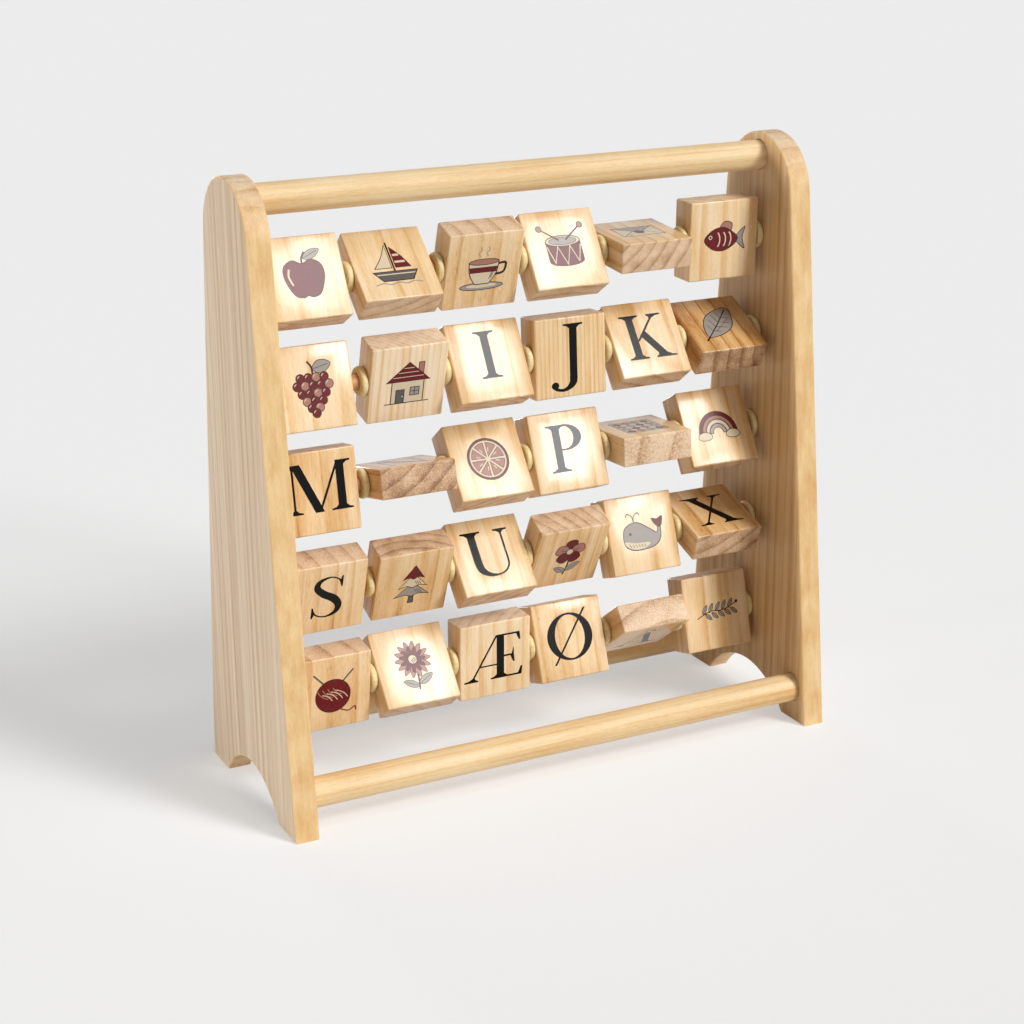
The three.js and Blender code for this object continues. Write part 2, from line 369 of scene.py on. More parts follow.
def ringAt(radius, x, steps, y=0.0, z=0.0):
    turn = 2 * math.pi / steps
    return [(x, y + radius * math.cos(i * turn), z + radius * math.sin(i * turn)) for i in range(steps)]


def rectangle(x0, y0, x1, y1):
    return [(x0, y0), (x1, y0), (x1, y1), (x0, y1)]


def seat(piece, body, slot, *nodes):
    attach(piece, body)
    if nodes:
        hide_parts(*nodes)


def boxOf(node):
    low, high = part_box(node)
    return low / mm, high / mm


# Rails and rods, with their middles and ends from the frame

dowelLook = {"railSides": 72, "rodSides": 40, "lengths": 12, "pithAcross": (8, 20), "pithUp": (-6, 6)}


def dowel(name, node, radius, sides, material, slot):
    low, high = boxOf(node)
    y, z = (low.y + high.y) / 2, (low.z + high.z) / 2
    lengths = dowelLook["lengths"]
    shell = newShell()
    stations = [low.x + (high.x - low.x) * i / lengths for i in range(lengths + 1)]
    addSkin(shell, [ringAt(radius, x, sides) for x in stations][::-1])
    addFace(shell, ringAt(radius, low.x, sides)[::-1])
    addFace(shell, ringAt(radius, high.x, sides))
    pith = drawn(dowelLook["pithAcross"], dowelLook["pithUp"], logLength)
    matrix = Matrix.Translation((0, y * mm, z * mm))
    seat(shellPiece(name, shell, [material], 0, pith, 0.0, matrix), "frame", slot, node)


railBoxes = {node: boxOf(node) for node in ("top_rail", "front_foot_rail", "back_foot_rail")}
for railNode, (railLow, railHigh) in railBoxes.items():
    railRadius = (railHigh.z - railLow.z) / 2
    dowel(railNode + "_dowel", railNode, railRadius, dowelLook["railSides"], railPine, "rail_pine")
print("rails:", len(railBoxes))


# Spacer beads and the rods that carry them

beadLook = {"across": 15.0, "thickness": 3.6, "hole": 8.1, "holeEdge": 0.3, "rim": 1.5, "rimSteps": 6,
            "sides": 48, "clearance": 0.1, "rod": 8.0, "pith": (4, 30), "tones": (-0.08, 0.08)}


def bead(name, x, z):
    half = beadLook["thickness"] / 2
    rim, rimSteps, holeEdge = beadLook["rim"], beadLook["rimSteps"], beadLook["holeEdge"]
    hole, edge = beadLook["hole"] / 2, beadLook["across"] / 2
    profile = [(hole, -half + holeEdge), (hole + holeEdge, -half)]
    for side in (-1, 1):
        for i in range(rimSteps + 1):
            angle = math.radians(90 * i / rimSteps)
            out, over = (math.sin(angle), math.cos(angle)) if side < 0 else (math.cos(angle), math.sin(angle))
            profile.append((edge - rim + rim * out, side * (half - rim + rim * over)))
    profile += [(hole + holeEdge, half), (hole, half - holeEdge)]
    shell = newShell()
    rings = [ringAt(radius, offset, beadLook["sides"]) for radius, offset in profile]
    addSkin(shell, (rings + rings[:1])[::-1])
    *pith, tone = drawn(beadLook["pith"], beadLook["pith"], logLength, beadLook["tones"])
    matrix = Matrix.Translation((x * mm, 0, z * mm))
    seat(shellPiece(name, shell, [beadBeech], 0, pith, tone, matrix), "frame", "bead_beech")


# Blocks of each row from the top, with how far each leans at rest in degrees, as in the part
rows = [
    {"blocks": "A B C D E F", "leans": [-29, -47, 18, -32, -85, 2]},
    {"blocks": "G H I J K L", "leans": [-16, 16, -30, -3, -36, -62]},
    {"blocks": "M N O P Q R", "leans": [-10, -102, -37, -22, -93, -30]},
    {"blocks": "S T U V W X", "leans": [18, 22, -40, 28, -20, -71]},
    {"blocks": "Y Z AE OE AA plain", "leans": [8, -38, 1, -19, 54, -14]},
]
rodNodes = [f"bead_rod_row_{number}" for number in range(1, len(rows) + 1)]
rightPanelFace = boxOf("side_panel_right")[0].x

# a bead lies against the left of each block, and one against the right panel
for number, (row, rodNode) in enumerate(zip(rows, rodNodes), 1):
    rodLow, rodHigh = boxOf(rodNode)
    dowel(f"rod_row_{number}", rodNode, beadLook["rod"] / 2, dowelLook["rodSides"], rodHardwood, "bead_beech")
    lefts = [boxOf("block_" + letter)[0].x for letter in row["blocks"].split()] + [rightPanelFace]
    for count, left in enumerate(lefts, 1):
        beadMiddle = left - beadLook["thickness"] / 2 - beadLook["clearance"]
        bead(f"bead_row_{number}_{count}", beadMiddle, (rodLow.z + rodHigh.z) / 2)
print("rods:", len(rows), "with their beads")


# Side panels: tapered boards with a round top, an arched foot and blind sockets

panelLook = {"topRadius": 29.6, "archWidth": 72.2, "archHeight": 18.7, "edge": 0.8, "edgeSteps": 4,
             "flatMargin": 0.24, "arcSteps": 40, "socketClearance": 0.3, "socketDepth": 8.0,
             "socketSteps": 48, "pithAcross": (-8, 8), "pithDeep": (150, 190)}


def arcPoints(centre, radius, start, end):
    steps = panelLook["arcSteps"]
    angles = [start + (end - start) * i / steps for i in range(steps + 1)]
    return [(radius * math.cos(a), centre + radius * math.sin(a)) for a in angles]


# The panel's outline in (y, z), drawn in by an inset all round
def panelOutline(depth, height, inset):
    half = depth / 2
    topRadius = panelLook["topRadius"]
    topCentre = height - topRadius
    lean = math.atan2(half, topCentre) - math.asin(topRadius / math.hypot(half, topCentre))
    archHalf, archHeight = panelLook["archWidth"] / 2, panelLook["archHeight"]
    archRadius = (archHalf ** 2 + archHeight ** 2) / (2 * archHeight)
    archCentre = archHeight - archRadius
    archStart = math.asin((inset - archCentre) / (archRadius + inset))
    foot = half - inset / math.cos(lean) - inset * math.tan(lean)
    return ([(foot, inset)] + arcPoints(topCentre, topRadius - inset, lean, math.pi - lean) + [(-foot, inset)]
            + arcPoints(archCentre, archRadius + inset, math.pi - archStart, archStart))


def sidePanel(name, node, inward):
    low, high = boxOf(node)
    inner, outer = (high.x, low.x) if inward > 0 else (low.x, high.x)
    depth, height = high.y - low.y, high.z
    edge, steps = panelLook["edge"], panelLook["edgeSteps"]
    rings = []
    for face, into in ((inner, -inward), (outer, inward)):
        rounding = []
        for i in range(steps + 1):
            angle = math.radians(90 * i / steps)
            outline = panelOutline(depth, height, edge * (1 - math.sin(angle)))
            rounding.append([(face + into * edge * (1 - math.cos(angle)), y, z) for y, z in outline])
        # one more ring keeps the edge flat between its roundings
        rounding.append([(x + into * panelLook["flatMargin"], y, z) for x, y, z in rounding[-1]])
        rings += rounding if face == inner else rounding[::-1]
    shell = newShell()
    addSkin(shell, rings if inward > 0 else rings[::-1])

    # inner face with its sockets, then the outer face
    sockets = [(railLow.lerp(railHigh, 0.5), (railHigh.z - railLow.z) / 2)
               for railLow, railHigh in railBoxes.values()]
    for rodNode in rodNodes:
        rodLow, rodHigh = boxOf(rodNode)
        sockets.append((rodLow.lerp(rodHigh, 0.5), beadLook["rod"] / 2))
    holes = []
    bottom = inner - inward * panelLook["socketDepth"]
    for middle, radius in sockets:
        wall = radius + panelLook["socketClearance"]
        mouth = ringAt(wall, inner, panelLook["socketSteps"], middle.y, middle.z)
        base = ringAt(wall, bottom, panelLook["socketSteps"], middle.y, middle.z)
        holes.append([(inward * y, z) for x, y, z in mouth])
        addSkin(shell, [base, mouth] if inward > 0 else [mouth, base])
        addFace(shell, base if inward > 0 else base[::-1])
    flat = panelOutline(depth, height, edge)
    addFlat(shell, [(inward * y, z) for y, z in flat], lambda u, v: (inner, inward * u, v), holes, (), 1)
    addFlat(shell, [(-inward * y, z) for y, z in flat], lambda u, v: (outer, -inward * u, v), (), (), 2)
    across, deep, along = drawn(panelLook["pithAcross"], panelLook["pithDeep"], logLength)
    pith = (across - (inner + outer) / 2, deep, along)
    board = shellPiece(name, shell, [panelEdgePine, panelInnerPine, panelOuterPine], 2, pith, 0.0)
    seat(board, "frame", "panel_pine", node)


sidePanel("side_panel_left_board", "side_panel_left", 1)
sidePanel("side_panel_right_board", "side_panel_right", -1)
print("side panels: 2")


# Drawing tools for the prints, in millimetres about the face's middle: the first four give points,
# and the rest a list of (ink, polygon)

lineLook = {"outline": 0.4, "shading": 0.28, "steepestMitre": 0.5}


def oval(x, y, rx, ry=None, start=0, end=360, steps=36):
    ry = rx if ry is None else ry
    count = steps if abs(end - start) >= 360 else steps + 1
    angles = [math.radians(start + (end - start) * i / steps) for i in range(count)]
    return [(x + rx * math.cos(a), y + ry * math.sin(a)) for a in angles]


# A smooth curve through points; closed joins the last to the first
def smooth(points, closed=True, steps=6):
    count = len(points)
    curve = []
    for i in range(count if closed else count - 1):
        spots = [(i + k) % count if closed else min(max(i + k, 0), count - 1) for k in (-1, 0, 1, 2)]
        near = [points[spot] for spot in spots]
        for step in range(steps):
            t = step / steps
            weights = (-t + 2 * t ** 2 - t ** 3, 2 - 5 * t ** 2 + 3 * t ** 3,
                       t + 4 * t ** 2 - 3 * t ** 3, t ** 3 - t ** 2)
            curve.append(tuple(sum(w * c for w, c in zip(weights, along)) / 2 for along in zip(*near)))
    return curve if closed else curve + [tuple(points[-1])]


def bend(points, steps=6):
    return smooth(points, False, steps)


def turned(points, angle, x=0.0, y=0.0):
    c, s = math.cos(math.radians(angle)), math.sin(math.radians(angle))
    return [(x + c * px - s * py, y + s * px + c * py) for px, py in points]


def fill(colour, points):
    return [(colour, [tuple(p[:2]) for p in points])]


# A line of ink; a third number in a point is its own width
def stroke(colour, points, width=lineLook["outline"], closed=False):
    count = len(points)
    sides = []
    for i, point in enumerate(points):
        before = points[i - 1] if closed or i else point
        after = points[(i + 1) % count] if closed or i < count - 1 else point
        arrive = Vector((point[0] - before[0], point[1] - before[1])).normalized()
        leave = Vector((after[0] - point[0], after[1] - point[1])).normalized()
        along = (arrive + leave).normalized()
        mitre = max(abs(along.dot(leave if leave.length else arrive)), lineLook["steepestMitre"])
        half = (point[2] if len(point) > 2 else width) / 2 / mitre
        off = Vector((-along.y, along.x)) * half
        sides.append(((point[0] + off.x, point[1] + off.y), (point[0] - off.x, point[1] - off.y)))
    spans = zip(sides, sides[1:] + sides[:1]) if closed else zip(sides, sides[1:])
    parts = []
    for (leftA, rightA), (leftB, rightB) in spans:
        parts += [(colour, [leftA, rightA, rightB]), (colour, [leftA, rightB, leftB])]
    return parts


def curl(colour, points, width=lineLook["outline"]):
    return stroke(colour, bend(points), width)


def shape(colour, points, width=lineLook["outline"]):
    return fill(colour, points) + stroke("sepia", points, width, True)


# Parallel strokes of shading, each moved on from the last
def hatch(colour, start, end, count, step, width=lineLook["shading"]):
    parts = []
    for i in range(count):
        a = (start[0] + step[0] * i, start[1] + step[1] * i)
        b = (end[0] + step[0] * i, end[1] + step[1] * i)
        parts += stroke(colour, [a, b], width)
    return parts


def leafAt(colour, x, y, length, width, angle):
    edge = smooth([(0, 0), (length * 0.3, width * 0.45), (length * 0.7, width * 0.4), (length, 0),
                   (length * 0.7, -width * 0.4), (length * 0.3, -width * 0.45)], True, 4)
    vein = turned([(0, 0), (length * 0.85, 0)], angle, x, y)
    return shape(colour, turned(edge, angle, x, y), 0.32) + stroke("sepia", vein, lineLook["shading"])


# Letters: high-contrast serif capitals, drawn from stems, hairlines, bowls and beaks

letterLook = {"stem": 3.9, "hair": 1.0, "widen": 1.1, "bowl": 1.08, "bowlSteps": 40, "penSteps": 8,
              "serif": 3.1, "bracket": 1.4, "tip": 0.8, "knee": 0.16, "kneeReach": 0.4, "beak": 4.6,
              "beakRoot": 2.25, "beakFront": 0.5, "beakBack": 0.375, "beakInner": 1.25, "beakOver": 0.7}


def ink(points):
    return [("black", points)]


def bar(x0, y0, x1, y1):
    return ink(rectangle(x0, y0, x1, y1))


# A bracketed serif on a stem's end at y; way is 1 where the stem rises from it, lean its slope in x
def serif(x, y, width, way, left=True, right=True, lean=0.0):
    hair, reach = letterLook["hair"] * way, letterLook["serif"]
    knee = hair + letterLook["bracket"] * way * letterLook["knee"]
    rise = hair + letterLook["bracket"] * way
    parts = []
    for side, wanted in ((-1, left), (1, right)):
        if wanted:
            root, tip = x + side * width / 2, x + side * (width / 2 + reach)
            parts += ink([(x, y), (tip, y), (tip, y + hair * letterLook["tip"]),
                          (root + side * reach * letterLook["kneeReach"] + lean * knee, y + knee),
                          (root + lean * rise, y + rise), (x + lean * rise, y + rise)])
    return parts


def stem(x, width=letterLook["stem"], low=-12.0, high=12.0, foot=True, head=True):
    parts = bar(x - width / 2, low, x + width / 2, high)
    parts += serif(x, low, width, 1) if foot else []
    return parts + (serif(x, high, width, -1) if head else [])


# A slanting stroke with level ends, and a serif on the ends that ask for one; width is measured level
def slant(x0, y0, x1, y1, width, serifAtStart=False, serifAtEnd=False):
    half = width / 2
    way, lean = (1 if y1 > y0 else -1), (x1 - x0) / (y1 - y0)
    parts = ink([(x0 - half, y0), (x0 + half, y0), (x1 + half, y1), (x1 - half, y1)])
    parts += serif(x0, y0, width, way, lean=lean) if serifAtStart else []
    return parts + (serif(x1, y1, width, -way, lean=lean) if serifAtEnd else [])


def bowl(x, y, rx, ry, start=0, end=360, thick=letterLook["stem"] * letterLook["bowl"]):
    steps = letterLook["bowlSteps"]
    outer = oval(x, y, rx, ry, start, end, steps)
    inner = oval(x, y, rx - thick, ry - letterLook["hair"], start, end, steps)
    pairs = list(zip(outer, inner))
    ends = pairs[1:] + pairs[:1] if abs(end - start) >= 360 else pairs[1:]
    return [("black", [a[0], b[0], b[1], a[1]]) for a, b in zip(pairs, ends)]


# The right half of a bowl, as B, D, P and R have
def halfBowl(x, y, rx, ry):
    return bowl(x, y, rx, ry, -90, 90)


def pen(points):
    return stroke("black", bend(points, letterLook["penSteps"]))


# A hairline arm from a stem to x, with a beak at its end; way says which way the beak points
def arm(start, x, y, way, both=False):
    hair, beak = letterLook["hair"] * way, letterLook["beak"] * way
    side = 1 if x > start else -1
    corners = ("beakRoot", "beakFront", "beakBack", "beakInner")
    root, front, back, inner = (side * letterLook[corner] for corner in corners)
    over = beak * letterLook["beakOver"]
    parts = bar(min(start, x), min(y, y + hair), max(start, x), max(y, y + hair))
    parts += ink([(x - root, y), (x, y), (x + front, y + beak), (x - back, y + beak)])
    if both:
        parts += ink([(x, y + hair), (x - inner, y + hair), (x - back, y - over), (x, y - over)])
    return parts


def letterA(x=0.0, y=0.0, size=1.0):
    parts = (slant(-8.6, -12, 0.1, 12.4, 1.1, True) + slant(8.0, -12, -0.5, 12.4, 4.2, True)
             + bar(-5.8, -4.6, 5.6, -3.8))
    return [(name, [(x + size * px, y + size * py) for px, py in points]) for name, points in parts]


def ringC():
    return bowl(0.6, 0, 10.6, 12.3, 52, 308) + ink([(6.6, 9.9), (8.2, 11.8), (8.8, 4.2), (8.2, 4.2)])


letters = {
    "A": letterA(),
    "B": (stem(-5.4) + halfBowl(-0.6, 6.0, 6.8, 6.0) + halfBowl(0.2, -5.8, 8.0, 6.2)
          + bar(-5, 11.15, -0.6, 12) + bar(-5, 0.0, 0.2, 0.85) + bar(-5, -12, 0.2, -11.15)),
    "C": ringC() + ink([(6.0, -10.4), (7.1, -9.6), (8.9, -5.0), (8.2, -5.0)]),
    "D": stem(-7) + halfBowl(-2.2, 0, 11.4, 12) + bar(-6, 11.15, -2.2, 12) + bar(-6, -12, -2.2, -11.15),
    "E": stem(-5.4) + arm(-5, 6.6, 12, -1) + arm(-5, 3.6, 0.4, -1, True) + arm(-5, 7.4, -12, 1),
    "F": stem(-5.0) + arm(-5, 7.0, 12, -1) + arm(-5, 3.8, 0.0, -1, True),
    "G": ringC() + stem(8.0, low=-10.4, high=-0.6, foot=False) + bar(3, -12.3, 6.5, -11.5),
    "H": stem(-7.2) + stem(7.2) + bar(-7, -0.2, 7, 0.65),
    "I": stem(0),
    "J": (stem(1.4, low=-15.4, foot=False)
          + pen([(1.4, -14.5, 4.1), (1.1, -17.6, 3.8), (-0.9, -20.1, 2.5), (-4.0, -21.3, 1.5),
                 (-7.2, -20.6, 1.6), (-8.6, -19.2, 1.8)])
          + ink(oval(-8.1, -18.7, 1.9, steps=24))),
    "K": (stem(-6.6) + slant(6.6, 12, -4.6, -2.2, 1.3, True)
          + ink([(-2.7, 0.2), (0.1, 2.9), (10.1, -12), (5.5, -12)]) + serif(7.8, -12, 4.6, 1, lean=-0.67)),
    "L": stem(-4.6) + arm(-4.6, 7.6, -12, 1),
    "M": (bar(-12.4, -12, -11.4, 12) + slant(-10.3, 12, -0.5, -12, 4.3) + slant(-0.5, -12, 9.4, 12, 1.2)
          + stem(10.2, head=False) + serif(-11.9, -12, 1.0, 1) + serif(-11.5, 12, 1.8, -1, right=False)
          + serif(10.2, 12, 3.9, -1, left=False)),
    "N": (bar(-8.6, -12, -7.6, 12) + bar(7.6, -12, 8.6, 12) + slant(-7.2, 12, 7.2, -12, 4.4)
          + serif(-8.1, -12, 1.0, 1) + serif(-7.8, 12, 1.6, -1, right=False) + serif(8.1, 12, 1.0, -1)),
    "O": bowl(0, 0, 11.3, 12.3),
    "P": stem(-5) + halfBowl(-0.6, 5.4, 8.4, 6.6) + bar(-5, 11.15, -0.6, 12) + bar(-5, -1.2, -0.6, -0.35),
    "Q": (bowl(0, 1, 11.0, 11.6)
          + pen([(-2.6, -9.4, 0.9), (1.2, -11.6, 2.6), (5.4, -14.2, 3.0), (9.8, -14.4, 1.0)])),
    "R": (stem(-6) + halfBowl(-1.6, 5.7, 7.4, 6.3) + bar(-6, 11.15, -1.6, 12) + bar(-6, -0.6, -1.6, 0.25)
          + pen([(-0.6, 0.0, 3.6), (2.6, -4.2, 3.9), (5.6, -9.4, 3.4), (8.2, -11.6, 1.4),
                 (9.6, -10.8, 0.8)])),
    "S": (pen([(6.3, 6.4, 0.8), (4.8, 10.0, 0.8), (0.8, 11.8, 0.9), (-4.0, 10.0, 2.2), (-5.2, 6.2, 3.2),
               (-2.0, 2.2, 3.9), (3.0, -1.4, 4.1), (5.5, -5.6, 3.3), (4.2, -9.9, 2.2), (-0.6, -11.8, 0.9),
               (-4.9, -10.2, 0.8), (-6.8, -6.4, 0.8)])
          + ink([(5.4, 9.4), (6.2, 11.9), (6.9, 11.9), (6.8, 5.2), (6.1, 5.2)])
          + ink([(-5.6, -9.6), (-6.6, -12), (-7.3, -12), (-7.2, -5.4), (-6.5, -5.4)])),
    "T": stem(0, head=False) + arm(0, 9.2, 12, -1) + arm(0, -9.2, 12, -1),
    "U": (stem(-7.2, low=-4.6, foot=False) + stem(7.9, 1.0, -4.6, 12, foot=False)
          + pen([(-7.2, -4.0, 3.8), (-6.5, -8.4, 3.7), (-3.4, -11.4, 2.3), (0.9, -12.2, 1.1),
                 (4.9, -11.0, 0.9), (7.4, -7.8, 0.9), (7.9, -4.0, 1.0)])),
    "V": slant(-7.6, 12, 0.7, -12.3, 4.3, True) + slant(7.8, 12, 0.9, -12.3, 1.1, True),
    "W": (slant(-11.2, 12, -5.4, -12.3, 3.8, True) + slant(0.0, 12, -5.4, -12.3, 1.0)
          + slant(-0.6, 12, 5.8, -12.3, 4.0, True) + slant(11.4, 12, 6.0, -12.3, 1.0, True)),
    "X": slant(-6.6, 12, 7.0, -12, 4.5, True, True) + slant(7.4, 12, -7.8, -12, 1.2, True, True),
    "Y": (slant(-7.4, 12, 0.0, -1.6, 4.4, True) + slant(8.0, 12, 0.9, -1.6, 1.2, True)
          + stem(0, low=-12, high=-0.4, head=False)),
    "Z": slant(5.0, 12, -5.6, -12, 4.4) + arm(6.4, -7.2, 12, -1) + arm(-7.0, 8.0, -12, 1),
    "AE": (slant(-12.6, -12, 0.8, 12, 1.1, True) + stem(2.6, head=False) + bar(-8.6, -4.6, 2.6, -3.8)
           + arm(0.4, 12.6, 12, -1) + arm(2.6, 9.6, 0.4, -1, True) + arm(2.6, 13.6, -12, 1)),
    "OE": bowl(0, 0, 12.0, 12.4) + slant(-9.6, -13.8, 9.6, 13.8, 1.2),
    "AA": letterA(0, -2.6, 0.88) + bowl(0, 11.6, 2.6, 2.6, thick=0.8),
}


# Pictures: plain nursery things in burgundy, rose, cream and grey with a sepia line

def apple():
    body = smooth([(0, 6.6), (4.6, 8.4), (9.2, 5.6), (9.8, -0.4), (6.6, -8.0), (2.6, -9.8), (0, -9.0),
                   (-2.6, -9.8), (-6.6, -8.0), (-9.8, -0.4), (-9.2, 5.6), (-4.6, 8.4)])
    return (shape("burgundy", body, 0.5) + curl("cream", [(-6.9, 4.4), (-7.6, 0.6), (-6.2, -3.6)], 0.9)
            + hatch("sepia", (6.0, 4.6), (7.6, -3.6), 3, (-1.1, -0.9))
            + curl("sepia", [(0, 6.4), (0.4, 9.4), (2.2, 12.2)], 1.0)
            + leafAt("grey", 1.0, 9.0, 9.5, 4.4, 24))


def boat():
    hull = [(-11.4, -4.6), (11.4, -4.6), (7.8, -10.0), (-7.4, -10.0)]
    return (shape("cream", bend([(-1.0, 10.8), (-4.6, 4.0), (-9.8, -2.6)]) + [(-1.0, -2.6)])
            + shape("burgundy", bend([(1.0, 9.4), (5.4, 4.0), (8.8, -2.6)]) + [(1.0, -2.6)])
            + stroke("cream", [(1.4, 4.6), (4.6, 4.6)], 1.2) + stroke("cream", [(1.4, 0.6), (6.6, 0.6)], 1.2)
            + stroke("sepia", [(0, -4.6), (0, 12.0)], 0.9) + shape("slate", hull, 0.5)
            + stroke("cream", [(-9.8, -6.2), (9.8, -6.2)], 0.6)
            + curl("grey", [(-12, -12), (-8, -11), (-4, -12), (0, -11), (4, -12), (8, -11), (12, -12)], 0.6))


def cup():
    body = [(-8.0, 4.6)] + bend([(8.0, 4.6), (7.2, -1.6), (4.2, -6.8), (3.0, -7.4)])
    body += bend([(-3.0, -7.4), (-4.2, -6.8), (-7.2, -1.6), (-8.0, 4.6)])[:-1]
    return (curl("sepia", [(7.4, 3.0), (11.6, 3.2), (11.0, -1.6), (6.4, -2.6)], 1.3)
            + shape("grey", oval(0, -8.6, 11.6, 2.0)) + fill("cream", oval(0, -8.3, 8.2, 1.1))
            + shape("cream", body, 0.5)
            + fill("burgundy", [(-7.6, 1.8), (7.6, 1.8), (7.0, -1.2), (-7.0, -1.2)])
            + shape("rose", oval(0, 4.6, 8.0, 1.6)) + hatch("sepia", (5.2, 0.8), (3.4, -5.2), 3, (0.7, 0.5))
            + curl("grey", [(-2.4, 7.6), (-3.4, 9.4), (-2.0, 11.0), (-2.8, 12.8)], 0.5)
            + curl("grey", [(1.8, 7.6), (0.8, 9.4), (2.2, 11.0), (1.4, 12.8)], 0.5))


def drum():
    parts = (shape("burgundy", [(-9.4, 4.0)] + oval(0, -6.4, 9.4, 2.6, 180, 360) + [(9.4, 4.0)], 0.5)
             + shape("cream", oval(0, 4.0, 9.4, 2.8), 0.5) + shape("grey", oval(0, 4.0, 7.6, 2.0), 0.3))
    peaks = [(-9.2, 1.4), (-6.6, -7.2), (-3.4, 1.2), (0, -8.4), (3.4, 1.2), (6.6, -7.2), (9.2, 1.4)]
    parts += stroke("cream", peaks, 0.6)
    for tip in ((-11.4, 11.0), (11.4, 11.6)):
        parts += stroke("sepia", [(tip[0] * 0.16, 4.4), tip], 0.8) + shape("rose", oval(*tip, 1.5))
    return parts


def envelope():
    return (shape("cream", rectangle(-11.6, -7.6, 11.6, 7.4), 0.5)
            + stroke("sepia", [(-11.6, -7.6), (-2.4, 0.6)]) + stroke("sepia", [(11.6, -7.6), (2.4, 0.6)])
            + shape("grey", [(-11.6, 7.4), (0, -2.0), (11.6, 7.4)], 0.5)
            + shape("burgundy", oval(0, -1.4, 2.6))
            + hatch("sepia", (-9.8, -6.2), (-6.2, -6.2), 3, (0.5, 1.2)))


def fish():
    body = smooth([(-11.6, 0.6), (-6.6, 5.4), (0, 6.4), (5.8, 3.2), (8.2, 0.4), (5.8, -2.8), (0, -5.4),
                   (-6.6, -4.4)])
    parts = shape("grey", smooth([(6.8, 0.4), (12.4, 6.0), (11.0, 0.4), (12.4, -5.4)], True, 4))
    parts += shape("rose", bend([(-3.6, 5.2), (0, 9.4), (4.6, 8.2), (4.0, 3.6)]))
    parts += shape("burgundy", body, 0.5)
    for x in (-3.2, 0.2, 3.4):
        parts += stroke("cream", oval(x - 2.6, 0.4, 3.4, 4.6, -52, 52, 12), 0.7)
    return (parts + shape("cream", oval(-8.0, 1.8, 1.3)) + fill("sepia", oval(-8.0, 1.8, 0.6))
            + curl("sepia", [(-11.0, -0.8), (-9.4, -1.4), (-8.2, -0.9)])
            + hatch("sepia", (-2.4, -2.4), (-0.6, -4.6), 4, (1.6, 0.2)))


def grapes():
    parts = curl("sepia", [(0.4, 6.0), (0.2, 9.6), (-1.8, 12.4)], 1.0)
    parts += leafAt("grey", 0.6, 8.6, 9.6, 6.4, 12)
    for count, y in ((4, 4.6), (5, 1.0), (4, -2.8), (3, -6.4), (2, -9.6), (1, -12.2)):
        for i in range(count):
            x = (i - (count - 1) / 2) * 4.0
            parts += shape("burgundy" if (i + count) % 3 else "rose", oval(x, y, 2.2, steps=20), 0.35)
            parts += stroke("cream", oval(x, y, 1.3, None, 100, 170, 6))
    return parts


def house():
    parts = (shape("rose", rectangle(5.0, 4.0, 7.8, 11.0))
             + shape("cream", rectangle(-8.4, -10.6, 8.4, 1.6), 0.5)
             + shape("burgundy", [(-11.4, 1.2), (11.4, 1.2), (0, 11.4)], 0.5)
             + shape("slate", rectangle(-6.0, -10.6, -1.6, -3.2)))
    for y in (3.6, 6.0, 8.4):
        reach = 11.4 * (11.4 - y) / 10.2 - 0.8
        parts += stroke("cream", [(-reach, y), (reach, y)], 0.35)
    return (parts + shape("grey", rectangle(1.4, -6.8, 6.2, -2.4))
            + stroke("sepia", [(3.8, -6.8), (3.8, -2.4)], 0.35)
            + stroke("sepia", [(1.4, -4.6), (6.2, -4.6)], 0.35)
            + fill("cream", oval(-2.4, -7.0, 0.4, steps=10))
            + stroke("sepia", [(-11.6, -10.6), (11.6, -10.6)], 0.5))


def iceLolly():
    body = oval(0, 5.0, 6.4, None, 0, 180, 20) + [(-6.4, -5.0), (6.4, -5.0)]
    return (shape("cream", rectangle(-1.3, -12.4, 1.3, -5.0)) + shape("rose", body, 0.5)
            + fill("burgundy", oval(0, 5.0, 6.2, None, 0, 180, 20))
            + stroke("cream", [(-2.6, -3.0), (-2.6, 6.6)], 0.7) + stroke("sepia", [(2.6, -3.0), (2.6, 6.6)])
            + hatch("sepia", (4.2, -3.2), (5.4, -1.0), 5, (0, 1.7)))


def jar():
    body = smooth([(-5.8, 6.0), (-7.8, 3.0), (-8.0, -7.4), (-5.0, -10.2), (5.0, -10.2), (8.0, -7.4),
                   (7.8, 3.0), (5.8, 6.0)])
    jam = smooth([(-7.2, 1.4), (-7.2, -7.0), (-4.6, -9.4), (4.6, -9.4), (7.2, -7.0), (7.2, 1.4)], True, 4)
    return (shape("grey", body, 0.5) + fill("burgundy", jam)
            + shape("cream", rectangle(-6.4, 6.0, 6.4, 10.4), 0.5)
            + hatch("sepia", (-4.8, 6.4), (-4.8, 10.0), 6, (1.9, 0))
            + shape("cream", rectangle(-4.6, -6.4, 4.6, -1.6))
            + stroke("cream", [(-6.0, -0.4), (-6.0, -6.0)], 0.6)
            + stroke("burgundy", [(-2.6, -4.0), (2.6, -4.0)], 0.5))


def kite():
    top, right, low, left, mid = (0.0, 12.0), (8.2, 4.0), (0.0, -7.0), (-8.2, 4.0), (0.0, 4.0)
    parts = (shape("burgundy", [top, left, mid]) + shape("cream", [top, mid, right])
             + shape("grey", [left, low, mid]) + shape("rose", [mid, low, right])
             + curl("sepia", [low, (2.4, -8.8), (-1.6, -10.8), (1.6, -13.2)], 0.5))
    for x, y in ((1.2, -8.4), (-0.4, -11.4)):
        for wing in (2.2, -2.2):
            parts += shape("burgundy", [(x, y), (x + wing, y + 1.1), (x + wing, y - 1.1)], 0.3)
    return parts


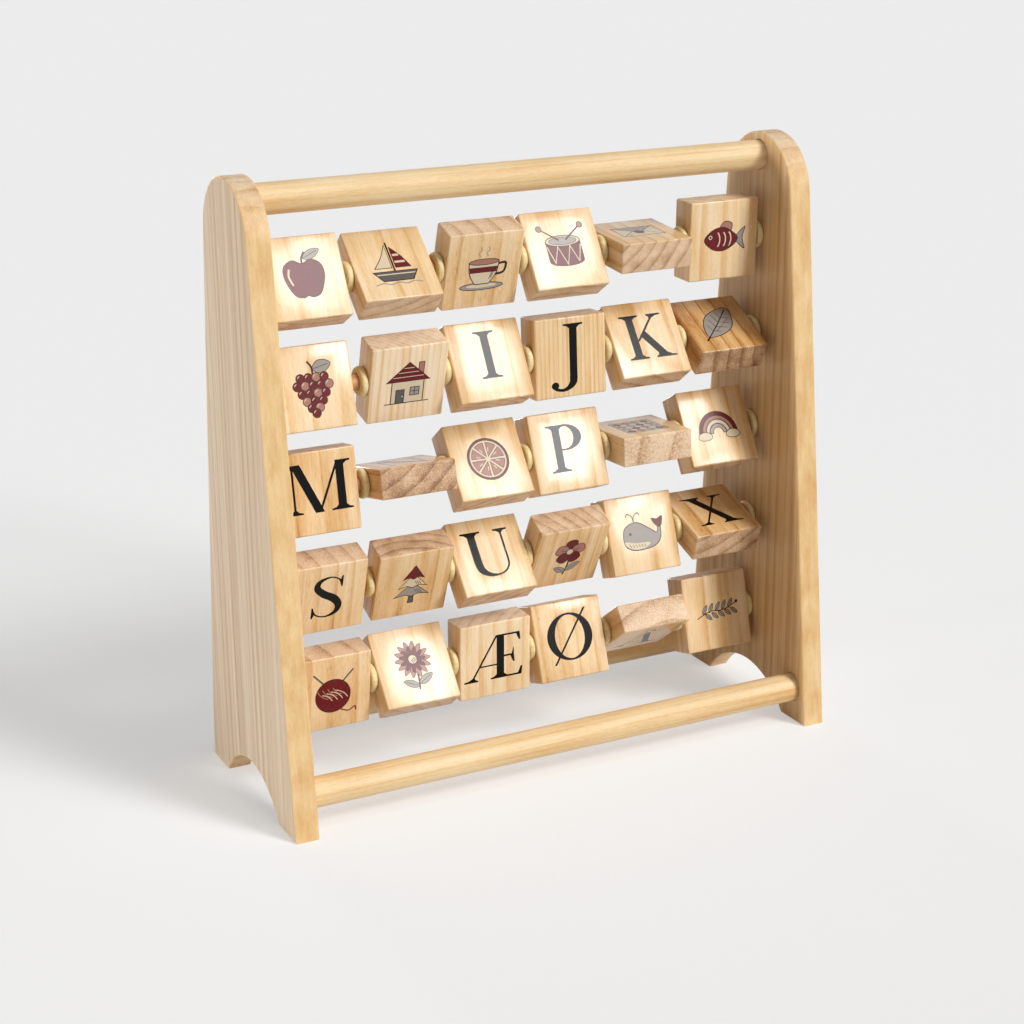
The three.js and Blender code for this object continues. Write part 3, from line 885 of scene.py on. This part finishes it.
def leaf():
    edge = smooth([(-9.8, -9.6), (-8.4, 0.4), (-2.0, 7.8), (10.4, 11.0), (8.6, -0.6), (1.6, -7.4)])
    parts = stroke("sepia", [(-12.4, -12.2), (-9.4, -9.2)], 1.0) + shape("grey", edge, 0.5)
    parts += curl("sepia", [(-9.6, -9.4), (-1.0, -1.0), (9.2, 9.8)], 0.6)
    for t, reach in ((0.22, 4.6), (0.38, 6.0), (0.54, 6.0), (0.7, 4.8)):
        x, y = -9.6 + 18.8 * t, -9.4 + 19.2 * t
        parts += stroke("sepia", [(x, y), (x - reach * 0.25, y + reach)], 0.35)
        parts += stroke("sepia", [(x, y), (x + reach, y - reach * 0.25)], 0.35)
    return parts + hatch("burgundy", (-3.4, -5.6), (-0.6, -3.4), 5, (1.9, 1.5))


def star(x, y, size, points=5):
    spots = []
    for i in range(points * 2):
        reach = size if i % 2 == 0 else size * 0.45
        angle = math.radians(90 + 180 * i / points)
        spots.append((x + reach * math.cos(angle), y + reach * math.sin(angle)))
    return spots


def moon():
    crescent = oval(-1, 0, 10.4, None, 50, 310, 36) + oval(4.2, 0, 8.4, None, 288, 72, 30)
    return (shape("cream", crescent, 0.5) + hatch("sepia", (-9.6, -2.6), (-7.6, -3.8), 5, (0.8, -1.3))
            + shape("burgundy", star(7.0, 6.0, 3.0)) + shape("rose", star(9.8, -3.4, 2.0))
            + shape("grey", star(3.4, -1.0, 1.8)))


def acorn():
    nut = smooth([(-6.6, 2.0), (-6.2, -4.4), (-2.6, -9.6), (0, -12.0), (2.6, -9.6), (6.2, -4.4),
                  (6.6, 2.0)], True, 5)
    cap = smooth([(-8.4, 2.0), (-7.0, 6.2), (0, 8.4), (7.0, 6.2), (8.4, 2.0), (0, 0.6)], True, 5)
    parts = shape("rose", nut, 0.5) + curl("cream", [(-4.2, -0.6), (-4.0, -4.4), (-2.0, -8.0)], 0.8)
    parts += curl("sepia", [(0, 8.0), (0.4, 10.4), (1.8, 12.4)], 1.1) + shape("burgundy", cap, 0.5)
    for i in range(5):
        parts += stroke("sepia", [(-6.4 + 2.6 * i, 2.0), (-3.4 + 2.2 * i, 6.4)], 0.35)
        parts += stroke("sepia", [(6.4 - 2.6 * i, 2.0), (3.4 - 2.2 * i, 6.4)], 0.35)
    return parts


def orange():
    parts = shape("burgundy", oval(0, 0, 11.0), 0.5) + fill("cream", oval(0, 0, 9.8))
    wedge = [(1.4, 0)] + oval(0, 0, 8.8, None, -18, 18, 8)
    for i in range(8):
        parts += shape("rose", turned(wedge, 45 * i + 22), 0.3)
        parts += stroke("cream", turned([(4.0, 0.6), (6.2, 0.9)], 45 * i + 22), 0.5)
    return parts + fill("cream", oval(0, 0, 1.0, steps=14))


def pear():
    body = smooth([(0, 8.4), (2.8, 7.0), (3.8, 2.4), (7.8, -3.0), (7.0, -8.8), (0, -11.2), (-7.0, -8.8),
                   (-7.8, -3.0), (-3.8, 2.4), (-2.8, 7.0)])
    return (shape("cream", body, 0.5) + hatch("sepia", (5.0, -3.0), (5.6, -7.6), 4, (-1.2, -0.5))
            + fill("rose", smooth([(-5.8, -3.6), (-3.4, -1.8), (-2.6, -6.2), (-5.2, -7.4)], True, 4))
            + curl("sepia", [(0, 8.0), (0.4, 10.4), (-1.2, 12.6)], 1.0)
            + leafAt("grey", 0.4, 9.4, 8.4, 4.2, 14))


def quilt():
    parts = shape("cream", rectangle(-11.4, -11.4, 11.4, 11.4), 0.6)
    size = 5.4
    half = size / 2
    for line, column in product(range(4), repeat=2):
        x, y = (column - 1.5) * size, (line - 1.5) * size
        colour = ("burgundy", "grey", "rose")[(line + 2 * column) % 3]
        parts += shape(colour, [(x - half, y), (x, y - half), (x + half, y), (x, y + half)], 0.3)
    return parts + stroke("sepia", rectangle(-10.2, -10.2, 10.2, 10.2), 0.3, True)


def rainbow():
    parts = []
    for radius, colour in ((11.6, "burgundy"), (9.4, "rose"), (7.2, "cream"), (5.0, "grey")):
        band = oval(0, -4.0, radius, None, 0, 180, 30) + [(-radius + 2.0, -4.0)]
        parts += shape(colour, band + oval(0, -4.0, radius - 2.0, None, 180, 0, 30), 0.35)
    for x in (-8.4, 8.4):
        parts += shape("cream", smooth([(x - 4.2, -5.8), (x - 3.0, -3.6), (x, -2.8), (x + 3.2, -3.8),
                                        (x + 4.2, -5.8), (x + 2.0, -7.2), (x - 2.0, -7.2)]))
    return parts


def sun():
    parts = []
    for i in range(12):
        ray = [(7.2, -1.3), (12.6 if i % 2 == 0 else 10.8, 0), (7.2, 1.3)]
        parts += shape("burgundy" if i % 2 == 0 else "rose", turned(ray, 30 * i), 0.35)
    parts += shape("cream", oval(0, 0, 6.4), 0.5)
    return parts + hatch("sepia", (2.0, -4.6), (4.6, -2.0), 4, (0.6, 1.2))


def tree():
    parts = shape("slate", [(-1.5, -12.0), (1.5, -12.0), (1.2, -7.0), (-1.2, -7.0)])
    for y, half, colour in ((-7.6, 9.6, "grey"), (-2.0, 7.8, "cream"), (3.4, 5.8, "burgundy")):
        hem = bend([(-half, y), (-half * 0.4, y + 1.0), (0, y - 0.2), (half * 0.4, y + 1.0), (half, y)], 4)
        parts += shape(colour, hem + [(0, y + 8.6)], 0.45)
        parts += hatch("sepia", (half * 0.3, y + 1.6), (half * 0.1, y + 4.2), 3, (half * 0.14, -0.2))
    return parts


def umbrella():
    parts = curl("sepia", [(0, 10.0), (0, -9.0), (0.6, -11.6), (3.0, -12.2), (4.4, -10.2)], 0.9)
    edges = [-11.4, -6.2, 0.2, 6.2, 11.4]
    ribs = [bend([(x, 0.0), (x * 0.86, 5.4), (0, 10.6)], 5) for x in edges]
    for i, colour in enumerate(("burgundy", "cream", "rose", "cream")):
        hem = bend([(edges[i], 0.0), ((edges[i] + edges[i + 1]) / 2, 1.6), (edges[i + 1], 0.0)], 4)
        parts += fill(colour, ribs[i] + ribs[i + 1][-2::-1] + hem[-2:0:-1]) + stroke("sepia", hem)
    for rib in ribs:
        parts += stroke("sepia", rib)
    return parts + stroke("sepia", [(0, 10.4), (0, 12.8)], 0.9)


def violet():
    parts = curl("sepia", [(0, 2.0), (0.8, -5.0), (-0.6, -12.6)], 0.9)
    parts += leafAt("grey", 0.2, -9.6, 9.0, 4.2, 34) + leafAt("grey", 0.2, -10.6, 8.0, 3.8, 150)
    petal = smooth([(0.6, 0), (3.0, 3.2), (7.4, 3.0), (8.6, 0), (7.4, -3.0), (3.0, -3.2)], True, 5)
    for angle, colour in ((90, "burgundy"), (162, "rose"), (18, "rose"), (234, "burgundy"),
                          (306, "burgundy")):
        parts += shape(colour, turned(petal, angle, 0, 4.0))
        parts += stroke("sepia", turned([(2.2, 0), (5.4, 0)], angle, 0, 4.0), 0.35)
    return parts + shape("cream", oval(0, 4.0, 2.0))


def whale():
    body = smooth([(-11.6, -2.0), (-9.6, 4.2), (-2.6, 6.0), (4.2, 2.2), (8.6, -0.6), (9.6, 3.4), (11.0, 3.0),
                   (10.4, -3.6), (5.6, -7.6), (-4.6, -8.4), (-10.0, -6.4)])
    tail = smooth([(9.0, 2.6), (6.4, 6.8), (9.6, 6.2), (12.8, 7.4), (11.6, 2.6)], True, 4)
    belly = smooth([(-11.0, -3.2), (-4.6, -4.6), (3.6, -5.2), (1.2, -7.4), (-4.6, -8.0),
                    (-9.6, -6.2)], True, 4)
    parts = shape("grey", body, 0.5) + shape("burgundy", tail) + fill("cream", belly)
    parts += hatch("sepia", (-8.4, -5.0), (-7.6, -6.6), 6, (1.7, -0.1))
    parts += fill("sepia", oval(-7.2, 0.4, 0.8, steps=14))
    x = -4.4
    for side in (-1, 1):
        spout = [(x, 6.4), (x + side * 0.6, 9.4), (x + side * 3.0, 11.0), (x + side * 4.2, 9.4)]
        parts += curl("slate", spout, 0.6)
    return parts


def xylophone():
    parts = stroke("slate", [(-11.6, -5.2), (11.4, -2.6)], 1.6)
    parts += stroke("slate", [(-11.6, 5.2), (11.4, 2.6)], 1.6)
    for i, colour in enumerate(("burgundy", "cream", "rose", "grey", "burgundy", "cream", "rose")):
        x, half = -10.2 + 3.4 * i, 8.8 - 0.7 * i
        parts += shape(colour, rectangle(x - 1.3, -half, x + 1.3, half))
    return parts + stroke("sepia", [(-4.0, -11.6), (7.2, 7.6)], 0.9) + shape("slate", oval(7.6, 8.4, 1.9))


def yarn():
    parts = stroke("slate", [(-10.6, 11.8), (6.0, -6.0)], 0.9)
    parts += stroke("slate", [(10.6, 11.8), (-6.0, -6.0)], 0.9)
    parts += shape("burgundy", oval(0, -1.6, 9.2), 0.5)
    for i in range(4):
        parts += stroke("cream", oval(-7.4 + 2.2 * i, -8.2, 8.0 + 0.6 * i, None, 28, 78, 10), 0.45)
        parts += stroke("rose", oval(7.6 - 2.2 * i, 6.4, 8.4 + 0.6 * i, None, 204, 250, 10), 0.45)
    return parts + curl("burgundy", [(4.0, -9.8), (8.4, -11.6), (11.8, -9.8), (12.4, -12.2)], 0.7)


def zinnia():
    parts = curl("sepia", [(0, 0), (0.6, -6.0), (-0.4, -13.0)], 0.9)
    parts += leafAt("grey", 0.2, -10.0, 9.2, 4.0, 28) + leafAt("grey", 0.0, -11.0, 8.6, 3.8, 156)
    for count, reach, colour in ((14, 9.2, "rose"), (11, 6.6, "burgundy")):
        petal = smooth([(1.0, 0), (reach * 0.6, reach * 0.16), (reach, 0.5), (reach, -0.5),
                        (reach * 0.6, -reach * 0.16)], True, 4)
        for i in range(count):
            parts += shape(colour, turned(petal, 360 * i / count, 0, 3.0), 0.3)
    parts += shape("cream", oval(0, 3.0, 2.4))
    return parts + hatch("sepia", (-1.2, 2.0), (1.2, 4.0), 3, (0.5, -0.5))


def egg():
    white = smooth([(0, 11.6), (4.4, 8.4), (6.2, 2.8), (4.6, -2.0), (0, -3.6), (-4.6, -2.0), (-6.2, 2.8),
                    (-4.4, 8.4)])
    holder = [(-6.8, 1.4)] + bend([(6.8, 1.4), (5.6, -3.4), (1.6, -5.8), (1.4, -9.4), (5.0, -11.4)], 4)
    holder += bend([(-5.0, -11.4), (-1.4, -9.4), (-1.6, -5.8), (-5.6, -3.4), (-6.8, 1.4)], 4)[:-1]
    return (shape("cream", white, 0.5) + hatch("sepia", (3.2, 3.4), (4.6, 5.4), 3, (-0.4, 1.3))
            + shape("burgundy", holder, 0.5) + stroke("cream", [(-6.2, -0.4), (6.2, -0.4)], 0.6)
            + hatch("rose", (-3.6, -2.0), (-2.6, -3.4), 4, (1.8, 0)))


def island():
    sand = smooth([(-10.6, -6.6), (-5.4, -3.4), (2.0, -2.8), (8.4, -4.6), (10.8, -6.8), (0, -7.8)])
    parts = shape("cream", sand, 0.5) + curl("sepia", [(-1.0, -3.2), (0.4, 1.6), (2.6, 6.0)], 1.5)
    for angle, reach in ((16, 8.6), (64, 6.6), (118, 7.0), (166, 8.8), (-26, 7.4)):
        parts += leafAt("grey" if reach > 7.2 else "burgundy", 2.6, 6.0, reach, 3.0, angle)
    for y in (-9.2, -11.2):
        crest = y + 0.9
        wave = [(-11, y), (-7, crest), (-3, y), (1, crest), (5, y), (9, crest), (11.6, y)]
        parts += curl("slate", wave, 0.55)
    return parts


def stream():
    parts = []
    for y, colour in ((3.4, "grey"), (-1.6, "cream"), (-6.6, "slate")):
        wave = bend([(-12, y), (-7, y + 2.2), (-2, y), (3, y + 2.2), (8, y), (12, y + 1.6)], 5)
        parts += shape(colour, wave + [(px, py - 3.0) for px, py in wave[::-1]])
    for x, top in ((-8.4, 12.4), (-6.4, 10.6), (-10.2, 10.2)):
        parts += curl("sepia", [(x, 3.6), (x + 0.3, 7.0), (x + 0.8, top)], 0.6)
        parts += shape("burgundy", smooth([(x + 0.2, top - 3.6), (x + 0.1, top - 0.4), (x + 1.4, top - 0.4),
                                           (x + 1.2, top - 3.6)], True, 3), 0.3)
    return parts + shape("rose", smooth([(3.6, 6.0), (6.0, 8.6), (9.6, 8.2), (10.6, 5.8), (7.0, 5.2)]))


def sprig():
    parts = curl("sepia", [(-12.4, -2.6), (-4.0, 0.4), (4.0, 0.2), (12.4, 3.0)], 0.5)
    for i, x in enumerate((-8.6, -4.6, -0.6, 3.4, 7.4)):
        parts += leafAt("grey", x, 0.08 * x + 0.2, 5.4, 2.2, 62 if i % 2 else 58)
        parts += leafAt("grey", x + 1.6, 0.08 * x - 0.1, 5.0, 2.2, -42)
    return parts + fill("burgundy", oval(12.8, 3.4, 0.9, steps=14))


pictures = {
    "A": apple, "B": boat, "C": cup, "D": drum, "E": envelope, "F": fish, "G": grapes, "H": house,
    "I": iceLolly, "J": jar, "K": kite, "L": leaf, "M": moon, "N": acorn, "O": orange, "P": pear,
    "Q": quilt, "R": rainbow, "S": sun, "T": tree, "U": umbrella, "V": violet, "W": whale,
    "X": xylophone, "Y": yarn, "Z": zinnia, "AE": egg, "OE": island, "AA": stream, "plain": sprig,
}


# Blocks: rounded square slabs, bored for the rod, with a print in each broad face

blockLook = {"width": 40.0, "thickness": 15.0, "height": 40.5, "edge": 0.8, "edgeSteps": 4, "bore": 8.6,
             "boreSteps": 32, "pithReach": (34, 90), "closeness": (0.55, 1.4), "tones": (-0.06, 0.06)}
lettersInFront = "I J K M N P S U X AE OE AA".split()
letterShift = {"I": 3.0, "J": 4.8, "K": 1.0, "M": 2.4, "P": 1.5, "S": 1.0, "U": 1.4, "AE": 1.0,
               "OE": 1.4}  # printed this far above the middle
# each block's wood is made darker, or paler below nought, to match its brightness in the frame: L and X hold
# painted shade for the right panel's shadow, and H and AE hold painted light for faces turned down from the
# lamps; the other entries only make a block darker or paler
blockToneShadeAndLight = {"N": 0.3, "X": 0.16, "T": 0.1, "L": 0.34, "M": 0.12, "J": 0.06, "W": 0.05, "plain": 0.06,
              "H": -0.22, "AE": -0.2, "D": -0.08, "Z": -0.1}  # darker, or paler below nought; partly painted shade and painted light
# where the rings show plainly: degrees from the rod to the log's middle, and how close the rings lie
ringTurns = {"C": 5, "H": 35, "J": 12, "N": 55, "T": 80, "X": 60}
ringCloseness = {"H": 2.6, "J": 3.0, "Q": 0.4}


def printLayers(parts, slots, shift=0.0, widen=1.0):
    layers = []
    for colour, points in parts:
        if colour not in slots:
            slots.append(colour)
        layers.append((slots.index(colour) + 1, [(x * widen, y + shift) for x, y in points]))
    return layers


def blockShell(frontPrint, backPrint):
    edge, steps = blockLook["edge"], blockLook["edgeSteps"]
    boreRadius, boreSteps = blockLook["bore"] / 2, blockLook["boreSteps"]
    half = [blockLook[size] / 2 - edge for size in ("width", "thickness", "height")]
    full = [h + edge for h in half]
    shell = newShell()
    square = rectangle(-half[0], -half[2], half[0], half[2])
    flank = rectangle(-half[1], -half[2], half[1], half[2])
    top = rectangle(-half[0], -half[1], half[0], half[1])
    addFlat(shell, square, lambda u, v: (u, -full[1], v), (), frontPrint)
    addFlat(shell, square, lambda u, v: (u, full[1], -v), (), backPrint)
    for side in (-1, 1):
        rim = [(side * y, z) for x, y, z in ringAt(boreRadius, 0, boreSteps)]
        addFlat(shell, flank, lambda u, v, s=side: (s * full[0], s * u, v), [rim])
        addFace(shell, [(x, side * y, side * full[2]) for x, y in top])
    addSkin(shell, [ringAt(boreRadius, side * full[0], boreSteps) for side in (-1, 1)])

    # rounded edges: a quarter turn between each pair of faces, with the corners closed
    def onBall(signs, directions):
        return tuple(s * (h + edge * d) for s, h, d in zip(signs, half, directions))

    turns = [math.radians(90 * i / steps) for i in range(steps + 1)]
    for axis, signA, signB in product(range(3), (-1, 1), (-1, 1)):
        a, b = (axis + 1) % 3, (axis + 2) % 3
        for t0, t1 in zip(turns, turns[1:]):
            quad = []
            for t, end in ((t0, -1), (t0, 1), (t1, 1), (t1, -1)):
                signs, directions = [0, 0, 0], [0, 0, 0]
                signs[axis], signs[a], signs[b] = end, signA, signB
                directions[a], directions[b] = math.cos(t), math.sin(t)
                quad.append(onBall(signs, directions))
            addFace(shell, quad if signA * signB < 0 else quad[::-1], 0, True)
    for signs in product((-1, 1), repeat=3):
        fan = []
        for i, polar in enumerate(turns):
            out, up = math.sin(polar), math.cos(polar)
            spread = [math.radians(90 * j / i) if i else 0.0 for j in range(i + 1)]
            fan.append([onBall(signs, (out * math.cos(s), out * math.sin(s), up)) for s in spread])
        for upper, lower in zip(fan, fan[1:]):
            for j in range(len(lower) - 1):
                corners = [[upper[j], lower[j], lower[j + 1]]]
                if j + 1 < len(upper):
                    corners.append([upper[j], lower[j + 1], upper[j + 1]])
                for corner in corners:
                    addFace(shell, corner if math.prod(signs) > 0 else corner[::-1], 0, True)
    return shell


for row in rows:
    for letter, lean in zip(row["blocks"].split(), row["leans"]):
        blockNode = "block_" + letter
        blockLow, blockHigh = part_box(blockNode)
        slots = []
        picture = printLayers(pictures[letter](), slots)
        shift = letterShift.get(letter, 0.0)
        capital = printLayers(letters.get(letter, []), slots, shift, letterLook["widen"])
        front, back = (capital, picture) if letter in lettersInFront else (picture, capital)
        middle = blockLow.lerp(blockHigh, 0.5)
        stand = Matrix.Translation(middle) @ Matrix.Rotation(math.radians(lean), 4, "X")
        ringTurn, reach, along, closeness, tone = drawn(
            (0, 360), blockLook["pithReach"], logLength, blockLook["closeness"], blockLook["tones"])
        angle = math.radians(ringTurns.get(letter, ringTurn))
        pith = (reach * math.cos(angle), reach * math.sin(angle), along)
        finishes = [blockPine] + [inks[colour] for colour in slots]
        # the block's tone here carries painted shade on L and X and painted light on H and AE, on top of its
        # random tone
        block = shellPiece(blockNode + "_printed", blockShell(front, back), finishes, 2, pith,
                           blockToneShadeAndLight.get(letter, 0.0) + tone, stand, ringCloseness.get(letter, closeness))
        seat(block, blockNode, "block_pine", blockNode)
print("blocks:", len(pictures))


# Stage: a pale paper floor in a dim room, key lights from the front right, a softbox above,
# and low fills from the left and from behind

stageLook = {"floorSize": 40.0, "floorColour": "#ebebeb", "floorGlow": 1.31, "floorGlowShare": 0.33,
             "roomStrength": 0.085}  # the floor's size in metres
lamps = [  # turn is from the front towards the right, rise is above the floor, in degrees
    {"name": "key_strip_low", "turn": 30, "rise": 22.5, "spread": 13, "strength": 1.0},
    {"name": "key_strip_high", "turn": 32.5, "rise": 41.5, "spread": 19, "strength": 1.55},
    {"name": "key_wrap", "turn": 30, "rise": 40, "spread": 50, "strength": 0.15},
    {"name": "fill_left", "turn": -90, "rise": 1.4, "spread": 2.5, "strength": 1.6},
    {"name": "top_softbox", "turn": 15, "rise": 72, "spread": 22, "strength": 0.42},
    {"name": "rear_fill", "turn": 180, "rise": 5.5, "spread": 10, "strength": 0.9},
]


# 1 for rays that show the stage, straight or by reflection, and 0 for those that light the object
def seenRays(tree):
    rays = addNode(tree, "ShaderNodeLightPath").outputs
    seen = rays["Is Camera Ray"]
    for kind in ("Is Glossy Ray", "Is Transmission Ray"):
        seen = addNode(tree, "ShaderNodeMath", {0: seen, 1: rays[kind]}, operation="MAXIMUM").outputs[0]
    return seen


floorHalf = stageLook["floorSize"] / 2
floorCorners = [(x, y, 0) for x, y in rectangle(-floorHalf, -floorHalf, floorHalf, floorHalf)]
floorMesh = bpy.data.meshes.new("paper_floor")
floorMesh.from_pydata(floorCorners, [], [(0, 1, 2, 3)])
paperFloor = bpy.data.objects.new("paper_floor", floorMesh)
scene.collection.objects.link(paperFloor)

# Paper, matt and uncoated: no shine, only the object's soft shadow
paper = bpy.data.materials.new("matt_paper")
paper.use_nodes = True
sheet = paper.node_tree
matt = sheet.nodes["Principled BSDF"]
matt.inputs["Base Color"].default_value = linear(stageLook["floorColour"])
matt.inputs["Roughness"].default_value = 1.0
matt.inputs["Specular IOR Level"].default_value = 0.0
glowShare = addNode(sheet, "ShaderNodeMath", {0: seenRays(sheet), 1: stageLook["floorGlowShare"]},
                    operation="MULTIPLY")
glow = addNode(sheet, "ShaderNodeEmission", {"Color": (1, 1, 1, 1), "Strength": stageLook["floorGlow"]})
blend = addNode(sheet, "ShaderNodeMixShader",
                {0: glowShare.outputs[0], 1: matt.outputs[0], 2: glow.outputs[0]})
sheet.links.new(blend.outputs[0], sheet.nodes["Material Output"].inputs["Surface"])
floorMesh.materials.append(paper)

room = bpy.data.worlds.new("dim_room")
scene.world = room
room.use_nodes = True
sky = room.node_tree
lit = sky.nodes["Background"]
lit.inputs["Color"].default_value = (1, 1, 1, 1)
lit.inputs["Strength"].default_value = stageLook["roomStrength"]
backdrop = addNode(sky, "ShaderNodeBackground", {"Color": linear(stageLook["floorColour"]), "Strength": 1.0})
choice = addNode(sky, "ShaderNodeMixShader", {0: seenRays(sky), 1: lit.outputs[0], 2: backdrop.outputs[0]})
sky.links.new(choice.outputs[0], sky.nodes["World Output"].inputs["Surface"])

for lamp in lamps:
    light = bpy.data.objects.new(lamp["name"], bpy.data.lights.new(lamp["name"], "SUN"))
    scene.collection.objects.link(light)
    light.data.energy = lamp["strength"]
    light.data.angle = math.radians(lamp["spread"])
    rise, turn = math.radians(lamp["rise"]), math.radians(lamp["turn"])
    towards = Vector((math.sin(turn) * math.cos(rise), -math.cos(turn) * math.cos(rise), math.sin(rise)))
    light.rotation_euler = towards.to_track_quat("Z", "Y").to_euler()

# Camera: stands in front and to the left, looks right and down
cameraLook = {"place": (-454.8, -892.0, 454.0), "turn": 26.761, "tilt": 18.199, "roll": -0.548, "lens": 73.01,
              "sensor": 36.0, "farthest": 100.0}
camera = bpy.data.objects.new("camera", bpy.data.cameras.new("camera"))
scene.collection.objects.link(camera)
camera.data.lens = cameraLook["lens"]
camera.data.sensor_width = cameraLook["sensor"]
camera.data.clip_end = cameraLook["farthest"]
camera.matrix_world = (Matrix.Translation(Vector(cameraLook["place"]) * mm)
                       @ Matrix.Rotation(math.radians(-cameraLook["turn"]), 4, "Z")
                       @ Matrix.Rotation(math.radians(90 - cameraLook["tilt"]), 4, "X")
                       @ Matrix.Rotation(math.radians(cameraLook["roll"]), 4, "Z"))
scene.camera = camera
print("stage: floor, room, lamps and camera")
